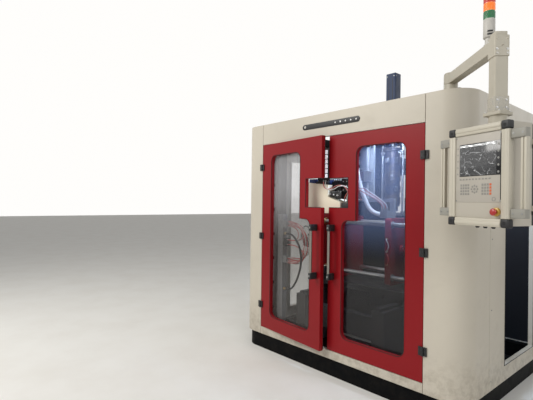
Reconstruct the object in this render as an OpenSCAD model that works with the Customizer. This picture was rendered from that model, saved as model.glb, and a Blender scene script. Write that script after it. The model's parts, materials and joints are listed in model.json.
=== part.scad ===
// Single-station blow moulding machine with a guard enclosure and a swivelling control panel.
// X runs along the front wall, Y from the front towards the extruder, Z up from the floor.
// The origin is the centre of the four floor anchors.

/* [Enclosure] */
// Width across the side walls
enclosure_w = 2430; // [2400:10:2700]
// Depth from the front wall to the rear wall
enclosure_d = 1900; // [1880:10:2000]
// Height of the plinth frame
plinth_h = 160; // [140:5:180]
// Set-back of the plinth behind the wall panels
plinth_inset = 30; // [20:1:36]
// Width of the plinth rails
plinth_rail_w = 100; // [92:1:120]
// Height of the wall panels above the plinth
panel_h = 2200; // [2190:10:2300]
// Outside radius of the front corners
corner_r = 190; // [170:5:220]
// Depth of the folded panel edges
fold_d = 40; // [36:1:44]
// Thickness of the panel sheet
sheet_t = 3; // [2:0.5:4]
// Gap of the seams between panels
seam_gap = 4; // [3:0.5:6]
// Distance of the side seam behind the front wall
side_seam_y = 400; // [380:5:440]
// Radius of the floor anchor holes
anchor_r = 9; // [7:0.5:11]
// Distance of the floor anchors from the side walls
anchor_side = 195; // [190:5:215]
// Distance of the floor anchors from the front and rear walls
anchor_end = 200; // [190:5:250]

/* [Side opening] */
// Front edge of the side opening behind the front wall
opening_y0 = 705; // [660:5:740]
// Length of the side opening
opening_l = 700; // [600:10:800]
// Lower edge of the side opening above the floor
opening_z0 = 280; // [260:5:320]
// Upper edge of the side opening above the floor
opening_z1 = 2040; // [1960:10:2100]

/* [Doors] */
// Width of the doorway
doorway_w = 1810; // [1800:2:1830]
// Lower edge of the doorway above the floor
doorway_z0 = 235; // [225:1:245]
// Upper edge of the doorway above the floor
doorway_z1 = 2146; // [2120:1:2160]
// Thickness of the doors
door_t = 40; // [30:1:44]
// Angle at which the left door stands ajar
left_ajar = 6; // [0:0.5:8]
// Distance of the window from the hinge edge of the door
window_margin = 153; // [140:1:165]
// Upper edge of the window
window_z1 = 2022; // [2000:1:2040]
// Height of the step in the window
window_step_z = 1395; // [1380:1:1410]
// Lower edge of the window
window_z0 = 370; // [350:1:400]
// Distance of the upper window from the meeting line
window_x_upper = 295; // [285:1:320]
// Distance of the lower window from the meeting line
window_x_lower = 150; // [140:1:170]
// Corner radius of the windows
window_r = 65; // [50:1:70]
// Thickness of the clear panes
pane_t = 5; // [4:0.5:8]
// Overlap of the panes on the back of the door
pane_lap = 18; // [12:1:25]
// Width of the cut-out across both doors
cutout_w = 426; // [400:2:440]
// Lower edge of the cut-out
cutout_z0 = 1504; // [1495:1:1515]
// Upper edge of the cut-out
cutout_z1 = 1765; // [1755:1:1775]
// Radius of the handle tube
handle_r = 13; // [11:0.5:15]
// Distance of the handle from the meeting line
handle_x = 60; // [50:1:70]
// Stand-off of the handle tube from the door
handle_standoff = 65; // [55:1:75]
// Height of the centre of the lower handle block
handle_z0 = 897; // [880:1:910]
// Height of the centre of the upper handle block
handle_z1 = 1325; // [1310:1:1340]
// Height of the hinge blocks
hinge_h = 65; // [56:1:72]
// Radius of the hinge pins
hinge_pin_r = 4; // [3:0.5:5]

/* [Name plate] */
// Length of the plate on the header
plate_l = 656; // [600:2:700]
// Height of the plate on the header
plate_h = 50; // [40:1:60]
// Height of the plate's centre above the floor
plate_z = 2257; // [2240:1:2270]
// Pitch of the round dots
dot_pitch = 56; // [50:1:60]

/* [Support arm] */
// Arm post to the right of the machine centre
post_x = 980; // [970:1:1000]
// Arm post behind the front wall
post_y = 240; // [230:1:250]
// Height of the arm's centre line
arm_z = 2490; // [2480:1:2500]
// Length of the arm from its post to the drop tube
arm_l = 700; // [690:1:720]
// Angle of the arm from the front wall line
arm_turn = 44; // [42:0.5:46]
// Side of the square drop tube
tube_w = 78; // [70:1:84]
// Lower end of the drop tube
tube_z0 = 2090; // [2080:1:2110]
// Radius of the stack lamp
lamp_r = 34; // [28:1:38]
// Height of one lamp segment
lamp_h = 49; // [44:1:54]

/* [Control panel] */
// Width of the panel face
panel_w = 400; // [390:2:420]
// Upper edge of the panel above the floor
panel_z1 = 2000; // [1990:1:2005]
// Lower edge of the panel above the floor
panel_z0 = 1424; // [1410:1:1430]
// Depth of the panel housing without its rear cover
panel_d = 200; // [190:1:215]
// Depth of the rear cover
rear_cover_d = 45; // [36:1:60]
// Angle by which the panel faces to the left
panel_turn = 19; // [15:0.5:23]
// Width of the aluminium frame bars
bar_w = 46; // [42:1:50]
// Travel of the stop button
stop_travel = 5; // [3:0.5:6]

/* [Clamp] */
// Height of the machine bed
bed_z = 640; // [620:5:660]
// Carriage centre behind the front wall
carriage_y = 700; // [690:5:710]
// Height of the carriage deck
deck_z = 760; // [755:1:775]
// Distance of the platen faces from the mould centre
platen_x = 260; // [250:1:264]
// Thickness of the platens
platen_t = 60; // [50:1:62]
// Width of the platens from front to rear
platen_w = 400; // [390:2:410]
// Upper edge of the platens
platen_z1 = 1410; // [1400:1:1412]
// Distance of the end plates from the mould centre
end_plate_x = 480; // [476:1:490]
// Radius of the tie bars
tie_r = 22; // [18:1:24]
// Radius of the clamp rams
ram_r = 28; // [22:1:30]
// Radial running clearance of bars, rams and pins
run_gap = 0.06; // [0.03:0.01:0.09]
// Mould bolt spacing from front to rear
mould_bolt_y = 240; // [220:2:250]
// Mould bolt spacing in height
mould_bolt_z = 320; // [300:2:330]
// Radius of the mould bolt holes
mould_bolt_r = 7; // [5:0.5:8]

/* [Head and blow pin] */
// Die head axis behind the front wall
head_y = 1040; // [1030:5:1050]
// Radius of the die head
head_r = 85; // [76:1:88]
// Lower end of the die
die_z = 1470; // [1465:1:1480]
// Upper end of the die head
head_z1 = 2100; // [2090:5:2110]
// Distance of the hanger rods from the head axis
hanger_x = 120; // [116:1:126]
// Side of the parison actuator
actuator_w = 110; // [100:1:116]
// Upper end of the parison actuator
actuator_z1 = 2920; // [2900:5:2940]
// Blow pin axis behind the front wall
pin_y = 400; // [390:1:405]
// Radius of the blow pin
pin_r = 20; // [15:1:22]
// Lower end of the blow pin
pin_z = 1460; // [1450:1:1470]

/* [Extruder] */
// Height of the barrel axis
barrel_z = 1950; // [1930:5:1970]
// Radius of the barrel
barrel_r = 70; // [60:1:74]
// Length of the barrel behind the head
barrel_l = 1310; // [1290:10:1330]
// Height of the extruder deck
stand_z = 1620; // [1600:5:1640]
// Radius of the hopper
hopper_r = 260; // [240:5:280]
// Wall of the hopper
hopper_t = 3; // [2:0.5:5]
// Radius of the extruder motor
motor_r = 140; // [125:1:150]

/* [Hidden] */
$fn = 48;

wall_z1 = plinth_h + panel_h;
half_w = enclosure_w / 2;
half_d = enclosure_d / 2;
front_y = -half_d;
half_door = doorway_w / 2;
anchor_x = enclosure_w - 2 * anchor_side;
anchor_y = enclosure_d - 2 * anchor_end;
tiny = 0.01;

// Plinth details
plinth_cross_y = 360;
anchor_plate_t = 15;

// Vertical gap between a turning piece and its seat
seat_gap = 0.3;

// Roof and post tubes
post_w = 80;
roof_tube_h = 80;
roof_z0 = wall_z1 - roof_tube_h;
post_y_list = [side_seam_y + 60, enclosure_d - fold_d - post_w - 5];
front_post_x = half_door + 8;
roof_beam_front_y = front_y + 470;
roof_beam_rear_y = half_d - 400;
arm_plate_w = 300;
arm_plate_t = 12;
head_x = 0;

// Hinge geometry
hinge_out = 12;
hinge_knuckle_r = 11;
hinge_leaf_w = 32;
hinge_leaf_t = 10;
hinge_gap = 0.5;
hinge_z_list = [470, 1190, 1908];

// Handle geometry
handle_block_w = 30;
handle_block_h = 58;
handle_block_out = handle_standoff + 15;

// Arm and panel places
post_r = 38;
arm_h = 76;
arm_w = 62;
head_w = 88;
post_pos = [post_x, front_y + post_y];
tube_pos = post_pos + arm_l * [cos(arm_turn), -sin(arm_turn)];
panel_face = 172;
panel_back = panel_face - panel_d;
lamp_gap = 37;
lamp_along = arm_l - head_w / 2 - lamp_r - lamp_gap;
lamp_z0 = arm_z + arm_h / 2 + 6;
lamp_base_h = 155;
fascia_w = panel_w - 2 * bar_w;
fascia_z0 = panel_z0 + 132;
fascia_h = panel_z1 - bar_w - fascia_z0;
fascia_t = 3;
fascia_out = 32;
stop_x = 125;
stop_z = panel_z0 + 83;
grip_out = 84;
grip_seat = 1;
grip_back = 36;
grip_r = 16;
grip_block_h = 50;
grip_z0 = panel_z0 + 52;
grip_z1 = panel_z1 - 100;
rear_pin_r = 3;
rear_knuckle_r = 6;
rear_axis_x = panel_w / 2 - 1;
rear_hinge_z = [panel_z0 + 90, panel_z1 - 120];

// Clamp places
carriage_c = front_y + carriage_y;
rail_x = 440;
rail_w = 45;
rail_h = 28;
rail_block_w = 100;
rail_block_l = 160;
rail_block_gap = 0.4;
beam_w = 120;
beam_y0 = front_y + 120;
beam_y1 = half_d - 60;
deck_t = 46;
deck_l = 560;
deck_w = 1180;
end_plate_t = 60;
end_plate_l = 420;
end_plate_z1 = 1440;
tie_z = [deck_z + 100, end_plate_z1 - 90];
tie_y = 165;
ram_z = 1105;
ram_l = 400;
cylinder_l = 360;
cylinder_r = 65;
mould_bolt_z_mid = 1100;
shuttle_z = 600;
shuttle_rod_r = 18;
shuttle_cyl_r = 38;
shuttle_cyl_y0 = 250;
shuttle_cyl_y1 = 935;

// Head and blow-pin places
head_c = [head_x, front_y + head_y];
pin_c = [head_x, front_y + pin_y];
mandrel_r = 15;
die_r = 60;
die_bore_r = 32;
shelf_w = 280;
shelf_t = 30;
shelf_z = [1560, 2100];
guide_x = 95;
guide_y = pin_c[1] + 50;
guide_r = 15;
hang_plate_y = pin_c[1] + 90;
slide_z0 = 1750;
slide_h = 100;
blow_rod_r = 12;
cover_y0 = front_y + 60;
cover_d = 190;
cover_t = 3;
cover_x = [-360, -60, 80];
cover_z = [1450, 1555, 1600, 1712, 1742];
throat_y = head_c[1] + head_r + barrel_l;
throat_l = 220;
throat_w = 240;
gearbox_l = 480;
gearbox_w = 420;
gearbox_z1 = barrel_z + 200;
motor_l = 430;
hopper_z0 = barrel_z + throat_w / 2;
hopper_z1 = 2750;
hopper_neck_r = 60;
lid_t = 4;
lid_hinge_r = 4;
lid_axis_drop = 14;

// Service column and its junction blocks
column_x = -730;
column_w = 70;
column_y = 70;
column_d = 60;
column_z1 = 1420;
junction_z = [930, 1290];
junction_w = 45;
junction_h = 70;

// Extruder stand
stand_y = [half_d + 110, half_d + 1500];
stand_x = 340;
leg_w = 100;
foot_t = 12;
deck_h = 120;

// Route of the ribbed hose from the blow-pin shelf to its air block
hose_r = 20;
hose_y = front_y + 270;
hose_route = [[90, hose_y, 2092], [90, hose_y, 2052.1], [91.6, hose_y, 1992.6],
  [96.6, hose_y, 1933.4], [104.8, hose_y, 1874.5], [116.2, hose_y, 1816.2],
  [130.9, hose_y, 1758.5], [148.7, hose_y, 1701.8], [169.6, hose_y, 1646.2],
  [193.6, hose_y, 1591.7], [220.6, hose_y, 1538.7], [237.4, hose_y, 1513.5],
  [258.5, hose_y, 1491.6], [283.1, hose_y, 1473.9], [310.5, hose_y, 1460.7],
  [339.7, hose_y, 1452.7], [370, hose_y, 1450], [380, hose_y, 1450]];

module rounded_rect(w, h, r) {
  square([w - 2 * r, h], center = true);
  square([w, h - 2 * r], center = true);
  for (x = [-1, 1], y = [-1, 1])
    translate([x * (w / 2 - r), y * (h / 2 - r)]) circle(r);
}

// Outline of the enclosure in plan, moved inwards by d
module plan_outline(d) {
  arc_x = half_w - corner_r;
  arc_y = front_y + corner_r;
  translate([-arc_x, front_y + d]) square([2 * arc_x, enclosure_d - 2 * d]);
  translate([-half_w + d, arc_y]) square([enclosure_w - 2 * d, enclosure_d - corner_r - d]);
  for (side = [-1, 1])
    translate([side * arc_x, arc_y]) circle(corner_r - d, $fn = 72);
}

module plan_ring(outer, inner) {
  difference() {
    plan_outline(outer);
    plan_outline(inner);
  }
}

// Sheet panel with folded edges: the first child is its region in plan, the second its end folds
module folded_panel(z0, z1) {
  translate([0, 0, z0]) linear_extrude(z1 - z0) intersection() {
    plan_ring(0, sheet_t);
    children(0);
  }
  for (z = [z0, z1 - sheet_t])
    translate([0, 0, z]) linear_extrude(sheet_t) intersection() {
      plan_ring(0, fold_d);
      children(0);
    }
  translate([0, 0, z0]) linear_extrude(z1 - z0) intersection() {
    plan_ring(0, fold_d);
    children(1);
  }
}

module span(x0, x1, y0, y1) {
  translate([x0, y0]) square([x1 - x0, y1 - y0]);
}

module block(x, y, z) {
  translate([x[0], y[0], z[0]]) cube([x[1] - x[0], y[1] - y[0], z[1] - z[0]]);
}

function unit(v) = v / norm(v);
function route_dir(p, i) = unit(p[min(i + 1, len(p) - 1)] - p[max(i - 1, 0)]);

// Closed tube through the points of a route that lies in a plane of constant Y
module swept_tube(p, r, sides = 12) {
  n = len(p);
  rings = [for (i = [0:n - 1])
    let (a = unit(cross(route_dir(p, i), [0, 1, 0])))
    for (k = [0:sides - 1])
      p[i] + r * (cos(360 * k / sides) * a + sin(360 * k / sides) * [0, 1, 0])];
  start_cap = [[for (k = [0:sides - 1]) k]];
  end_cap = [[for (k = [sides - 1:-1:0]) (n - 1) * sides + k]];
  walls = [for (i = [0:n - 2], k = [0:sides - 1])
    let (j = (k + 1) % sides)
    [i * sides + j, i * sides + k, (i + 1) * sides + k, (i + 1) * sides + j]];
  polyhedron(points = rings, faces = concat(start_cap, end_cap, walls), convexity = 8);
}

module base_frame() {
  color("dimgray") {
    linear_extrude(plinth_h) plan_ring(plinth_inset, plinth_inset + plinth_rail_w);
    for (y = [-plinth_cross_y, plinth_cross_y])
      block([-half_w + plinth_inset + plinth_rail_w - 1, half_w - plinth_inset - plinth_rail_w + 1],
        [y - plinth_rail_w / 2, y + plinth_rail_w / 2], [0, plinth_h]);
    for (sx = [-1, 1], sy = [-1, 1])
      translate([sx * anchor_x / 2, sy * anchor_y / 2, 0]) difference() {
        translate([0, 0, anchor_plate_t / 2]) cube([170, 180, anchor_plate_t], center = true);
        translate([0, 0, -1]) cylinder(h = anchor_plate_t + 2, r = anchor_r);
      }
  }
}

module enclosure_posts() {
  inner = half_w - fold_d - 5;
  color("dimgray") for (side = [-1, 1]) {
    for (y = post_y_list)
      translate([side * (inner - post_w / 2), front_y + y + post_w / 2, plinth_h])
        linear_extrude(roof_z0 - plinth_h) rounded_rect(post_w, post_w, 8, $fn = 16);
    translate([side * (front_post_x + post_w / 2), front_y + fold_d + 5 + post_w / 2, plinth_h])
      linear_extrude(roof_z0 - plinth_h) rounded_rect(post_w, post_w, 8, $fn = 16);
  }
}

module roof_frame() {
  color("dimgray") translate([0, 0, roof_z0]) {
    linear_extrude(roof_tube_h) plan_ring(fold_d, fold_d + post_w + 10);
    for (y = [roof_beam_front_y, roof_beam_rear_y])
      block([-half_w + fold_d + post_w, half_w - fold_d - post_w], [y, y + post_w],
        [0, roof_tube_h]);
  }
}

module header_panel() {
  x = half_door - seam_gap / 2;
  color("antiquewhite") folded_panel(doorway_z1 + seam_gap / 2, wall_z1) {
    span(-x, x, front_y, front_y + fold_d);
    union() for (side = [-1, 1])
      translate([side * (x - sheet_t / 2), front_y]) square([sheet_t, 3 * fold_d], center = true);
  }
}

module sill_panel() {
  x = half_door - seam_gap / 2;
  color("antiquewhite") folded_panel(plinth_h, doorway_z0 - seam_gap / 2) {
    span(-x, x, front_y, front_y + fold_d);
    union() for (side = [-1, 1])
      translate([side * (x - sheet_t / 2), front_y]) square([sheet_t, 3 * fold_d], center = true);
  }
}

module corner_panel() {
  x = half_door + seam_gap / 2;
  y = front_y + side_seam_y - seam_gap / 2;
  color("antiquewhite") folded_panel(plinth_h, wall_z1) {
    span(x, half_w, front_y, y);
    union() {
      span(x, x + sheet_t, front_y, front_y + fold_d);
      span(half_w - fold_d, half_w, y - sheet_t, y);
    }
  }
}

module right_corner_panel() corner_panel();
module left_corner_panel() mirror([1, 0, 0]) corner_panel();

module side_panel() {
  y0 = front_y + side_seam_y + seam_gap / 2;
  y1 = half_d;
  oy = [front_y + opening_y0, front_y + opening_y0 + opening_l];
  oz = [opening_z0, opening_z1];
  deep = [half_w - fold_d, half_w];
  color("antiquewhite") difference() {
    union() {
      folded_panel(plinth_h, wall_z1) {
        span(half_w - fold_d, half_w, y0, y1);
        union() for (y = [y0, y1 - sheet_t])
          span(half_w - fold_d, half_w, y, y + sheet_t);
      }
      block(deep, [oy[0] - sheet_t, oy[1] + sheet_t], [oz[0] - sheet_t, oz[1] + sheet_t]);
    }
    block([half_w - 2 * fold_d, half_w + fold_d], oy, oz);
  }
}

module right_side_panel() side_panel();
module left_side_panel() mirror([1, 0, 0]) side_panel();

// Three plain sheets that leave the middle open above for the barrel
module rear_panels() {
  lower_z1 = 1400;
  mid_x = 500;
  outer_x = half_w - fold_d;
  color("antiquewhite") {
    rear_pan([-outer_x, -mid_x - seam_gap], [plinth_h, wall_z1]);
    rear_pan([mid_x + seam_gap, outer_x], [plinth_h, wall_z1]);
    rear_pan([-mid_x, mid_x], [plinth_h, lower_z1]);
  }
}

module rear_pan(x, z) {
  difference() {
    block(x, [half_d - fold_d, half_d], z);
    block([x[0] + sheet_t, x[1] - sheet_t], [half_d - fold_d - 1, half_d - sheet_t],
      [z[0] + sheet_t, z[1] - sheet_t]);
  }
}

module name_plate() {
  color("black") translate([0, front_y, plate_z]) rotate([90, 0, 0]) {
    linear_extrude(4) rounded_rect(plate_l, plate_h, plate_h / 2 - tiny);
    for (i = [0:4]) translate([67 + i * dot_pitch, 1, 4]) cylinder(h = 2, r = 7);
    translate([-295, 1, 4]) cylinder(h = 2, r = 12);
  }
}

// Hinge leaf about the pin axis, with the leaf on the +X side and the wall face at y = hinge_out
module hinge_leaf(door_side) {
  third = hinge_h / 3;
  knuckles = door_side ? [[third + hinge_gap, 2 * third - hinge_gap]]
    : [[0, third], [2 * third, hinge_h]];
  color("black") translate([0, 0, -hinge_h / 2]) {
    difference() {
      union() {
        block([hinge_knuckle_r + 1, hinge_leaf_w], [hinge_out - hinge_leaf_t, hinge_out],
          [0, hinge_h]);
        for (k = knuckles) {
          translate([0, 0, k[0]]) cylinder(h = k[1] - k[0], r = hinge_knuckle_r);
          block([0, hinge_knuckle_r + 2], [hinge_out - hinge_leaf_t, hinge_knuckle_r], k);
        }
      }
      if (!door_side) translate([0, 0, -1]) cylinder(h = hinge_h + 2, r = hinge_pin_r + run_gap);
    }
    if (door_side) cylinder(h = hinge_h, r = hinge_pin_r);
  }
}

module hinge_row(side, door_side) {
  for (z = hinge_z_list)
    translate([side * half_door, front_y - hinge_out, z])
      mirror([side * (door_side ? 1 : -1) > 0 ? 1 : 0, 0, 0]) hinge_leaf(door_side);
}

module frame_hinge_leaves() {
  hinge_row(-1, false);
  hinge_row(1, false);
}

// Turns what rides on the left door to its ajar rest position
module left_door_pose() {
  translate([-half_door, front_y - hinge_out, 0]) rotate([0, 0, -left_ajar])
    translate([half_door, -front_y + hinge_out, 0]) children();
}

// Stepped window of the right door in its own X and Z, grown by g
module window_outline(g) {
  r = window_r + g;
  w = half_door - window_margin - window_x_upper + 2 * g;
  translate([window_x_upper - g, window_z0 - g]) {
    translate([w / 2, (window_z1 - window_z0 + 2 * g) / 2])
      rounded_rect(w, window_z1 - window_z0 + 2 * g, r);
  }
  lw = half_door - window_margin - window_x_lower + 2 * g;
  translate([window_x_lower - g + lw / 2, (window_step_z + window_z0) / 2])
    rounded_rect(lw, window_step_z - window_z0 + 2 * g, r);
}

module door() {
  z0 = doorway_z0 + seam_gap / 2;
  z1 = doorway_z1 - seam_gap / 2;
  color("firebrick") translate([0, front_y + door_t, 0]) rotate([90, 0, 0])
    linear_extrude(door_t) difference() {
      span(seam_gap / 2, half_door - seam_gap / 2, z0, z1);
      window_outline(0);
      span(0, cutout_w / 2, cutout_z0, cutout_z1);
    }
}

module pane() {
  color([0.8, 0.9, 0.95, 0.3]) translate([0, front_y + door_t + pane_t, 0]) rotate([90, 0, 0])
    linear_extrude(pane_t) window_outline(pane_lap);
}

module handle() {
  z = [handle_z0, handle_z1];
  color("black") for (zc = z) {
    translate([handle_x - handle_block_w / 2, front_y - handle_block_out, zc - handle_block_h / 2])
      cube([handle_block_w, handle_block_out, handle_block_h]);
    translate([handle_x, front_y - handle_block_out, zc]) rotate([90, 0, 0])
      cylinder(h = 3, r = 8);
  }
  color("silver") translate([handle_x, front_y - handle_standoff, z[0] + handle_block_h / 2])
    cylinder(h = z[1] - z[0] - handle_block_h, r = handle_r);
}

module right_door() door();
module right_window() pane();
module right_handle() handle();
module right_hinge_leaves() hinge_row(1, true);
module left_door() left_door_pose() mirror([1, 0, 0]) door();
module left_window() left_door_pose() mirror([1, 0, 0]) pane();
module left_handle() left_door_pose() mirror([1, 0, 0]) handle();
module left_hinge_leaves() left_door_pose() hinge_row(-1, true);

module at_arm() {
  translate([post_pos[0], post_pos[1], 0]) rotate([0, 0, -arm_turn]) children();
}

module at_panel() {
  translate([tube_pos[0], tube_pos[1], 0]) rotate([0, 0, -panel_turn]) children();
}

module arm_base() {
  color("lightgray") {
    translate([post_x, front_y + post_y, wall_z1 + arm_plate_t / 2])
      cube([arm_plate_w, arm_plate_w + 40, arm_plate_t], center = true);
    translate([post_x, front_y + post_y, wall_z1 + arm_plate_t])
      cylinder(h = arm_z - arm_h / 2 - seat_gap - wall_z1 - arm_plate_t, r = post_r + 12);
    translate([post_x, front_y + post_y, wall_z1 + arm_plate_t])
      cylinder(h = arm_z + arm_h / 2 - wall_z1 - arm_plate_t, r = post_r - 14);
  }
}

module support_arm() {
  z0 = arm_z - arm_h / 2;
  color("lightgray") at_arm() difference() {
    union() {
      translate([0, 0, z0]) cylinder(h = arm_h, r = post_r + 12);
      block([post_r, arm_l - head_w / 2], [-arm_w / 2, arm_w / 2], [z0, z0 + arm_h]);
    }
    translate([0, 0, z0 - 1]) cylinder(h = arm_h + 2, r = post_r - 14 + run_gap);
  }
}

// Head at the end of the arm, with a rounded top
module arm_head() {
  z0 = arm_z - 78;
  z1 = arm_z + 44;
  color("lightgray") at_arm() translate([arm_l, 0, 0]) {
    translate([0, 0, z0]) linear_extrude(z1 - z0) rounded_rect(head_w, head_w, 10);
    translate([0, 0, z1]) linear_extrude(24) rounded_rect(head_w - 16, head_w - 16, 10);
    for (side = [-1, 1]) for (z = [z0 + 16, z1 - 20])
      translate([head_w / 2, side * 30, z]) rotate([0, 90, 0]) cylinder(h = 4, r = 6);
  }
}

module drop_tube() {
  z1 = arm_z - 78;
  color("lightgray") at_arm() translate([arm_l, 0, tube_z0]) {
    linear_extrude(z1 - tube_z0) rounded_rect(tube_w, tube_w, 8);
    linear_extrude(90) rounded_rect(tube_w + 10, tube_w + 10, 8);
    translate([0, 0, -60]) cylinder(h = 60, r = 20);
  }
}

module lamp_base() {
  color("gainsboro") at_arm() translate([lamp_along, 0, lamp_z0]) {
    translate([0, 0, -6]) cylinder(h = 6, r = lamp_r - 4);
    cylinder(h = 40, r = lamp_r - 10);
    translate([0, 0, 40]) cylinder(h = lamp_base_h - 40, r = lamp_r);
  }
}

module lamp_segment(i) {
  at_arm() translate([lamp_along, 0, lamp_z0 + lamp_base_h + i * lamp_h])
    cylinder(h = lamp_h, r = lamp_r);
}

module lamp_green() color("limegreen") lamp_segment(0);
module lamp_amber() color("orange") lamp_segment(1);
module lamp_red() {
  color("red") lamp_segment(2);
  color("gainsboro") at_arm()
    translate([lamp_along, 0, lamp_z0 + lamp_base_h + 3 * lamp_h]) cylinder(h = 12, r = lamp_r - 3);
}

// Swivel coupling that turns about the spigot of the drop tube
module panel_coupling() {
  color("lightgray") at_panel() difference() {
    union() {
      translate([0, 0, tube_z0 - 22]) linear_extrude(21.5) rounded_rect(116, 116, 10);
      translate([0, 0, panel_z1]) cylinder(h = tube_z0 - 22 - panel_z1, r = 50);
    }
    translate([0, 0, panel_z1 - 1]) cylinder(h = tube_z0 - panel_z1 + 2, r = 20 + run_gap);
  }
}

module panel_housing() {
  color("gainsboro") at_panel() {
    block([-panel_w / 2 + 8, panel_w / 2 - 8], [-panel_face + bar_w, -panel_back],
      [panel_z0 + 8, panel_z1]);
    for (z = rear_hinge_z) translate([rear_axis_x, -panel_back, z]) difference() {
      union() {
        cylinder(h = 30, r = rear_knuckle_r);
        block([-8, 0], [-rear_knuckle_r, 0], [0, 30]);
      }
      translate([0, 0, -1]) cylinder(h = 32, r = rear_pin_r + run_gap);
    }
  }
}

// Aluminium bars round the face that run into a black cap at each corner
module panel_frame() {
  cap_out = 2;
  cap = bar_w + cap_out;
  bar = bar_w - 2;
  bar_r = 13;
  cap_r = 12;
  corner = bar_w - cap_r - 3;
  y = -panel_face + bar_w / 2;
  mid_z = (panel_z0 + panel_z1) / 2;
  color("silver") at_panel() {
    for (side = [-1, 1]) {
      translate([side * (panel_w - bar_w) / 2, y, mid_z])
        linear_extrude(panel_z1 - panel_z0 - 2 * corner, center = true) rounded_rect(bar, bar, bar_r);
      translate([0, y, mid_z + side * (panel_z1 - panel_z0 - bar_w) / 2]) rotate([0, 90, 0])
        linear_extrude(panel_w - 2 * corner, center = true) rounded_rect(bar, bar, bar_r);
    }
  }
  color("black") at_panel() for (sx = [-1, 1], sz = [-1, 1])
    translate([sx * ((panel_w - cap) / 2 + cap_out), y,
        mid_z + sz * ((panel_z1 - panel_z0 - cap) / 2 + cap_out)])
      rotate([90, 0, 0]) linear_extrude(bar_w, center = true) rounded_rect(cap, cap, cap_r);
}

// Black rear cover, hinged on two pins at its right edge, with its latch at the left
module panel_rear_cover() {
  x = panel_w / 2 - 10;
  y = -panel_back + 0.5;
  color("black") at_panel() {
    difference() {
      block([-x, x], [y, y + rear_cover_d], [panel_z0 + 12, panel_z1 - 6]);
      block([-x + 4, x - 4], [y - 1, y + rear_cover_d - 4], [panel_z0 + 16, panel_z1 - 10]);
    }
    translate([30 - x, y + rear_cover_d, (panel_z0 + panel_z1) / 2]) rotate([-90, 0, 0])
      cylinder(h = 8, r = 12);
    for (z = rear_hinge_z) translate([rear_axis_x, -panel_back, z - 20]) {
      cylinder(h = 20 - hinge_gap, r = rear_knuckle_r);
      cylinder(h = 48, r = rear_pin_r);
      block([-rear_knuckle_r - 5, 0], [0.5, rear_knuckle_r], [0, 20 - hinge_gap]);
    }
  }
}

// Keypad plate with its groups of low keys
module panel_fascia() {
  key = 13;
  pitch = 17;
  y = -panel_face + bar_w;
  color("whitesmoke") at_panel() translate([0, y, fascia_z0]) rotate([90, 0, 0]) {
    block([-fascia_w / 2, fascia_w / 2], [panel_z0 + bar_w - fascia_z0, fascia_h], [0, fascia_out]);
    translate([0, fascia_h / 2, fascia_out]) linear_extrude(fascia_t)
      rounded_rect(fascia_w - 6, fascia_h - 8, 6);
    for (block_x = [-92, 55], col = [0:3], row = [0:3])
      translate([block_x + col * pitch - 26, 46 + row * pitch, fascia_out + fascia_t])
        cube([key, key, 1]);
    translate([-18, 80, fascia_out + fascia_t]) difference() {
      cylinder(h = 1, r = 27);
      translate([0, 0, -1]) cylinder(h = 3, r = 14);
    }
    for (col = [0:9])
      translate([-124 + col * 22, 133, fascia_out + fascia_t]) cube([14, 9, 1]);
  }
}

module panel_screen() {
  y = -panel_face + bar_w - fascia_out - fascia_t;
  color("black") at_panel() translate([12, y, fascia_z0 + 250]) rotate([90, 0, 0])
    linear_extrude(2) rounded_rect(272, 190, 5);
}

// Grip bars at both sides, each on two end blocks
module panel_grips() {
  y = -panel_face + grip_back;
  color("silver") at_panel() for (side = [-1, 1]) {
    x = side * (panel_w / 2 + grip_out - grip_r);
    translate([x, y, grip_z0 + grip_block_h])
      linear_extrude(grip_z1 - grip_z0 - grip_block_h) rounded_rect(2 * grip_r, 26, 6);
    for (z = [grip_z0, grip_z1])
      translate([side * (panel_w / 2 + (grip_out - grip_seat) / 2), y, z + grip_block_h / 2])
        cube([grip_out + grip_seat, 40, grip_block_h], center = true);
  }
}

module stop_collar() {
  color("gold") at_panel() translate([stop_x, -panel_face + bar_w - fascia_out, stop_z])
    rotate([90, 0, 0])
    difference() {
      cylinder(h = 14, r = 24);
      translate([0, 0, -1]) cylinder(h = 16, r = 11 + run_gap);
    }
}

module stop_button() {
  color("red") at_panel() translate([stop_x, -panel_face + bar_w - fascia_out, stop_z])
    rotate([90, 0, 0]) {
      translate([0, 0, stop_travel + 1]) cylinder(h = 20 - stop_travel, r = 11);
      translate([0, 0, 14 + stop_travel + 1]) cylinder(h = 10, r1 = 14, r2 = 20);
      translate([0, 0, 24 + stop_travel + 1]) cylinder(h = 8, r1 = 20, r2 = 15);
    }
}

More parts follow.
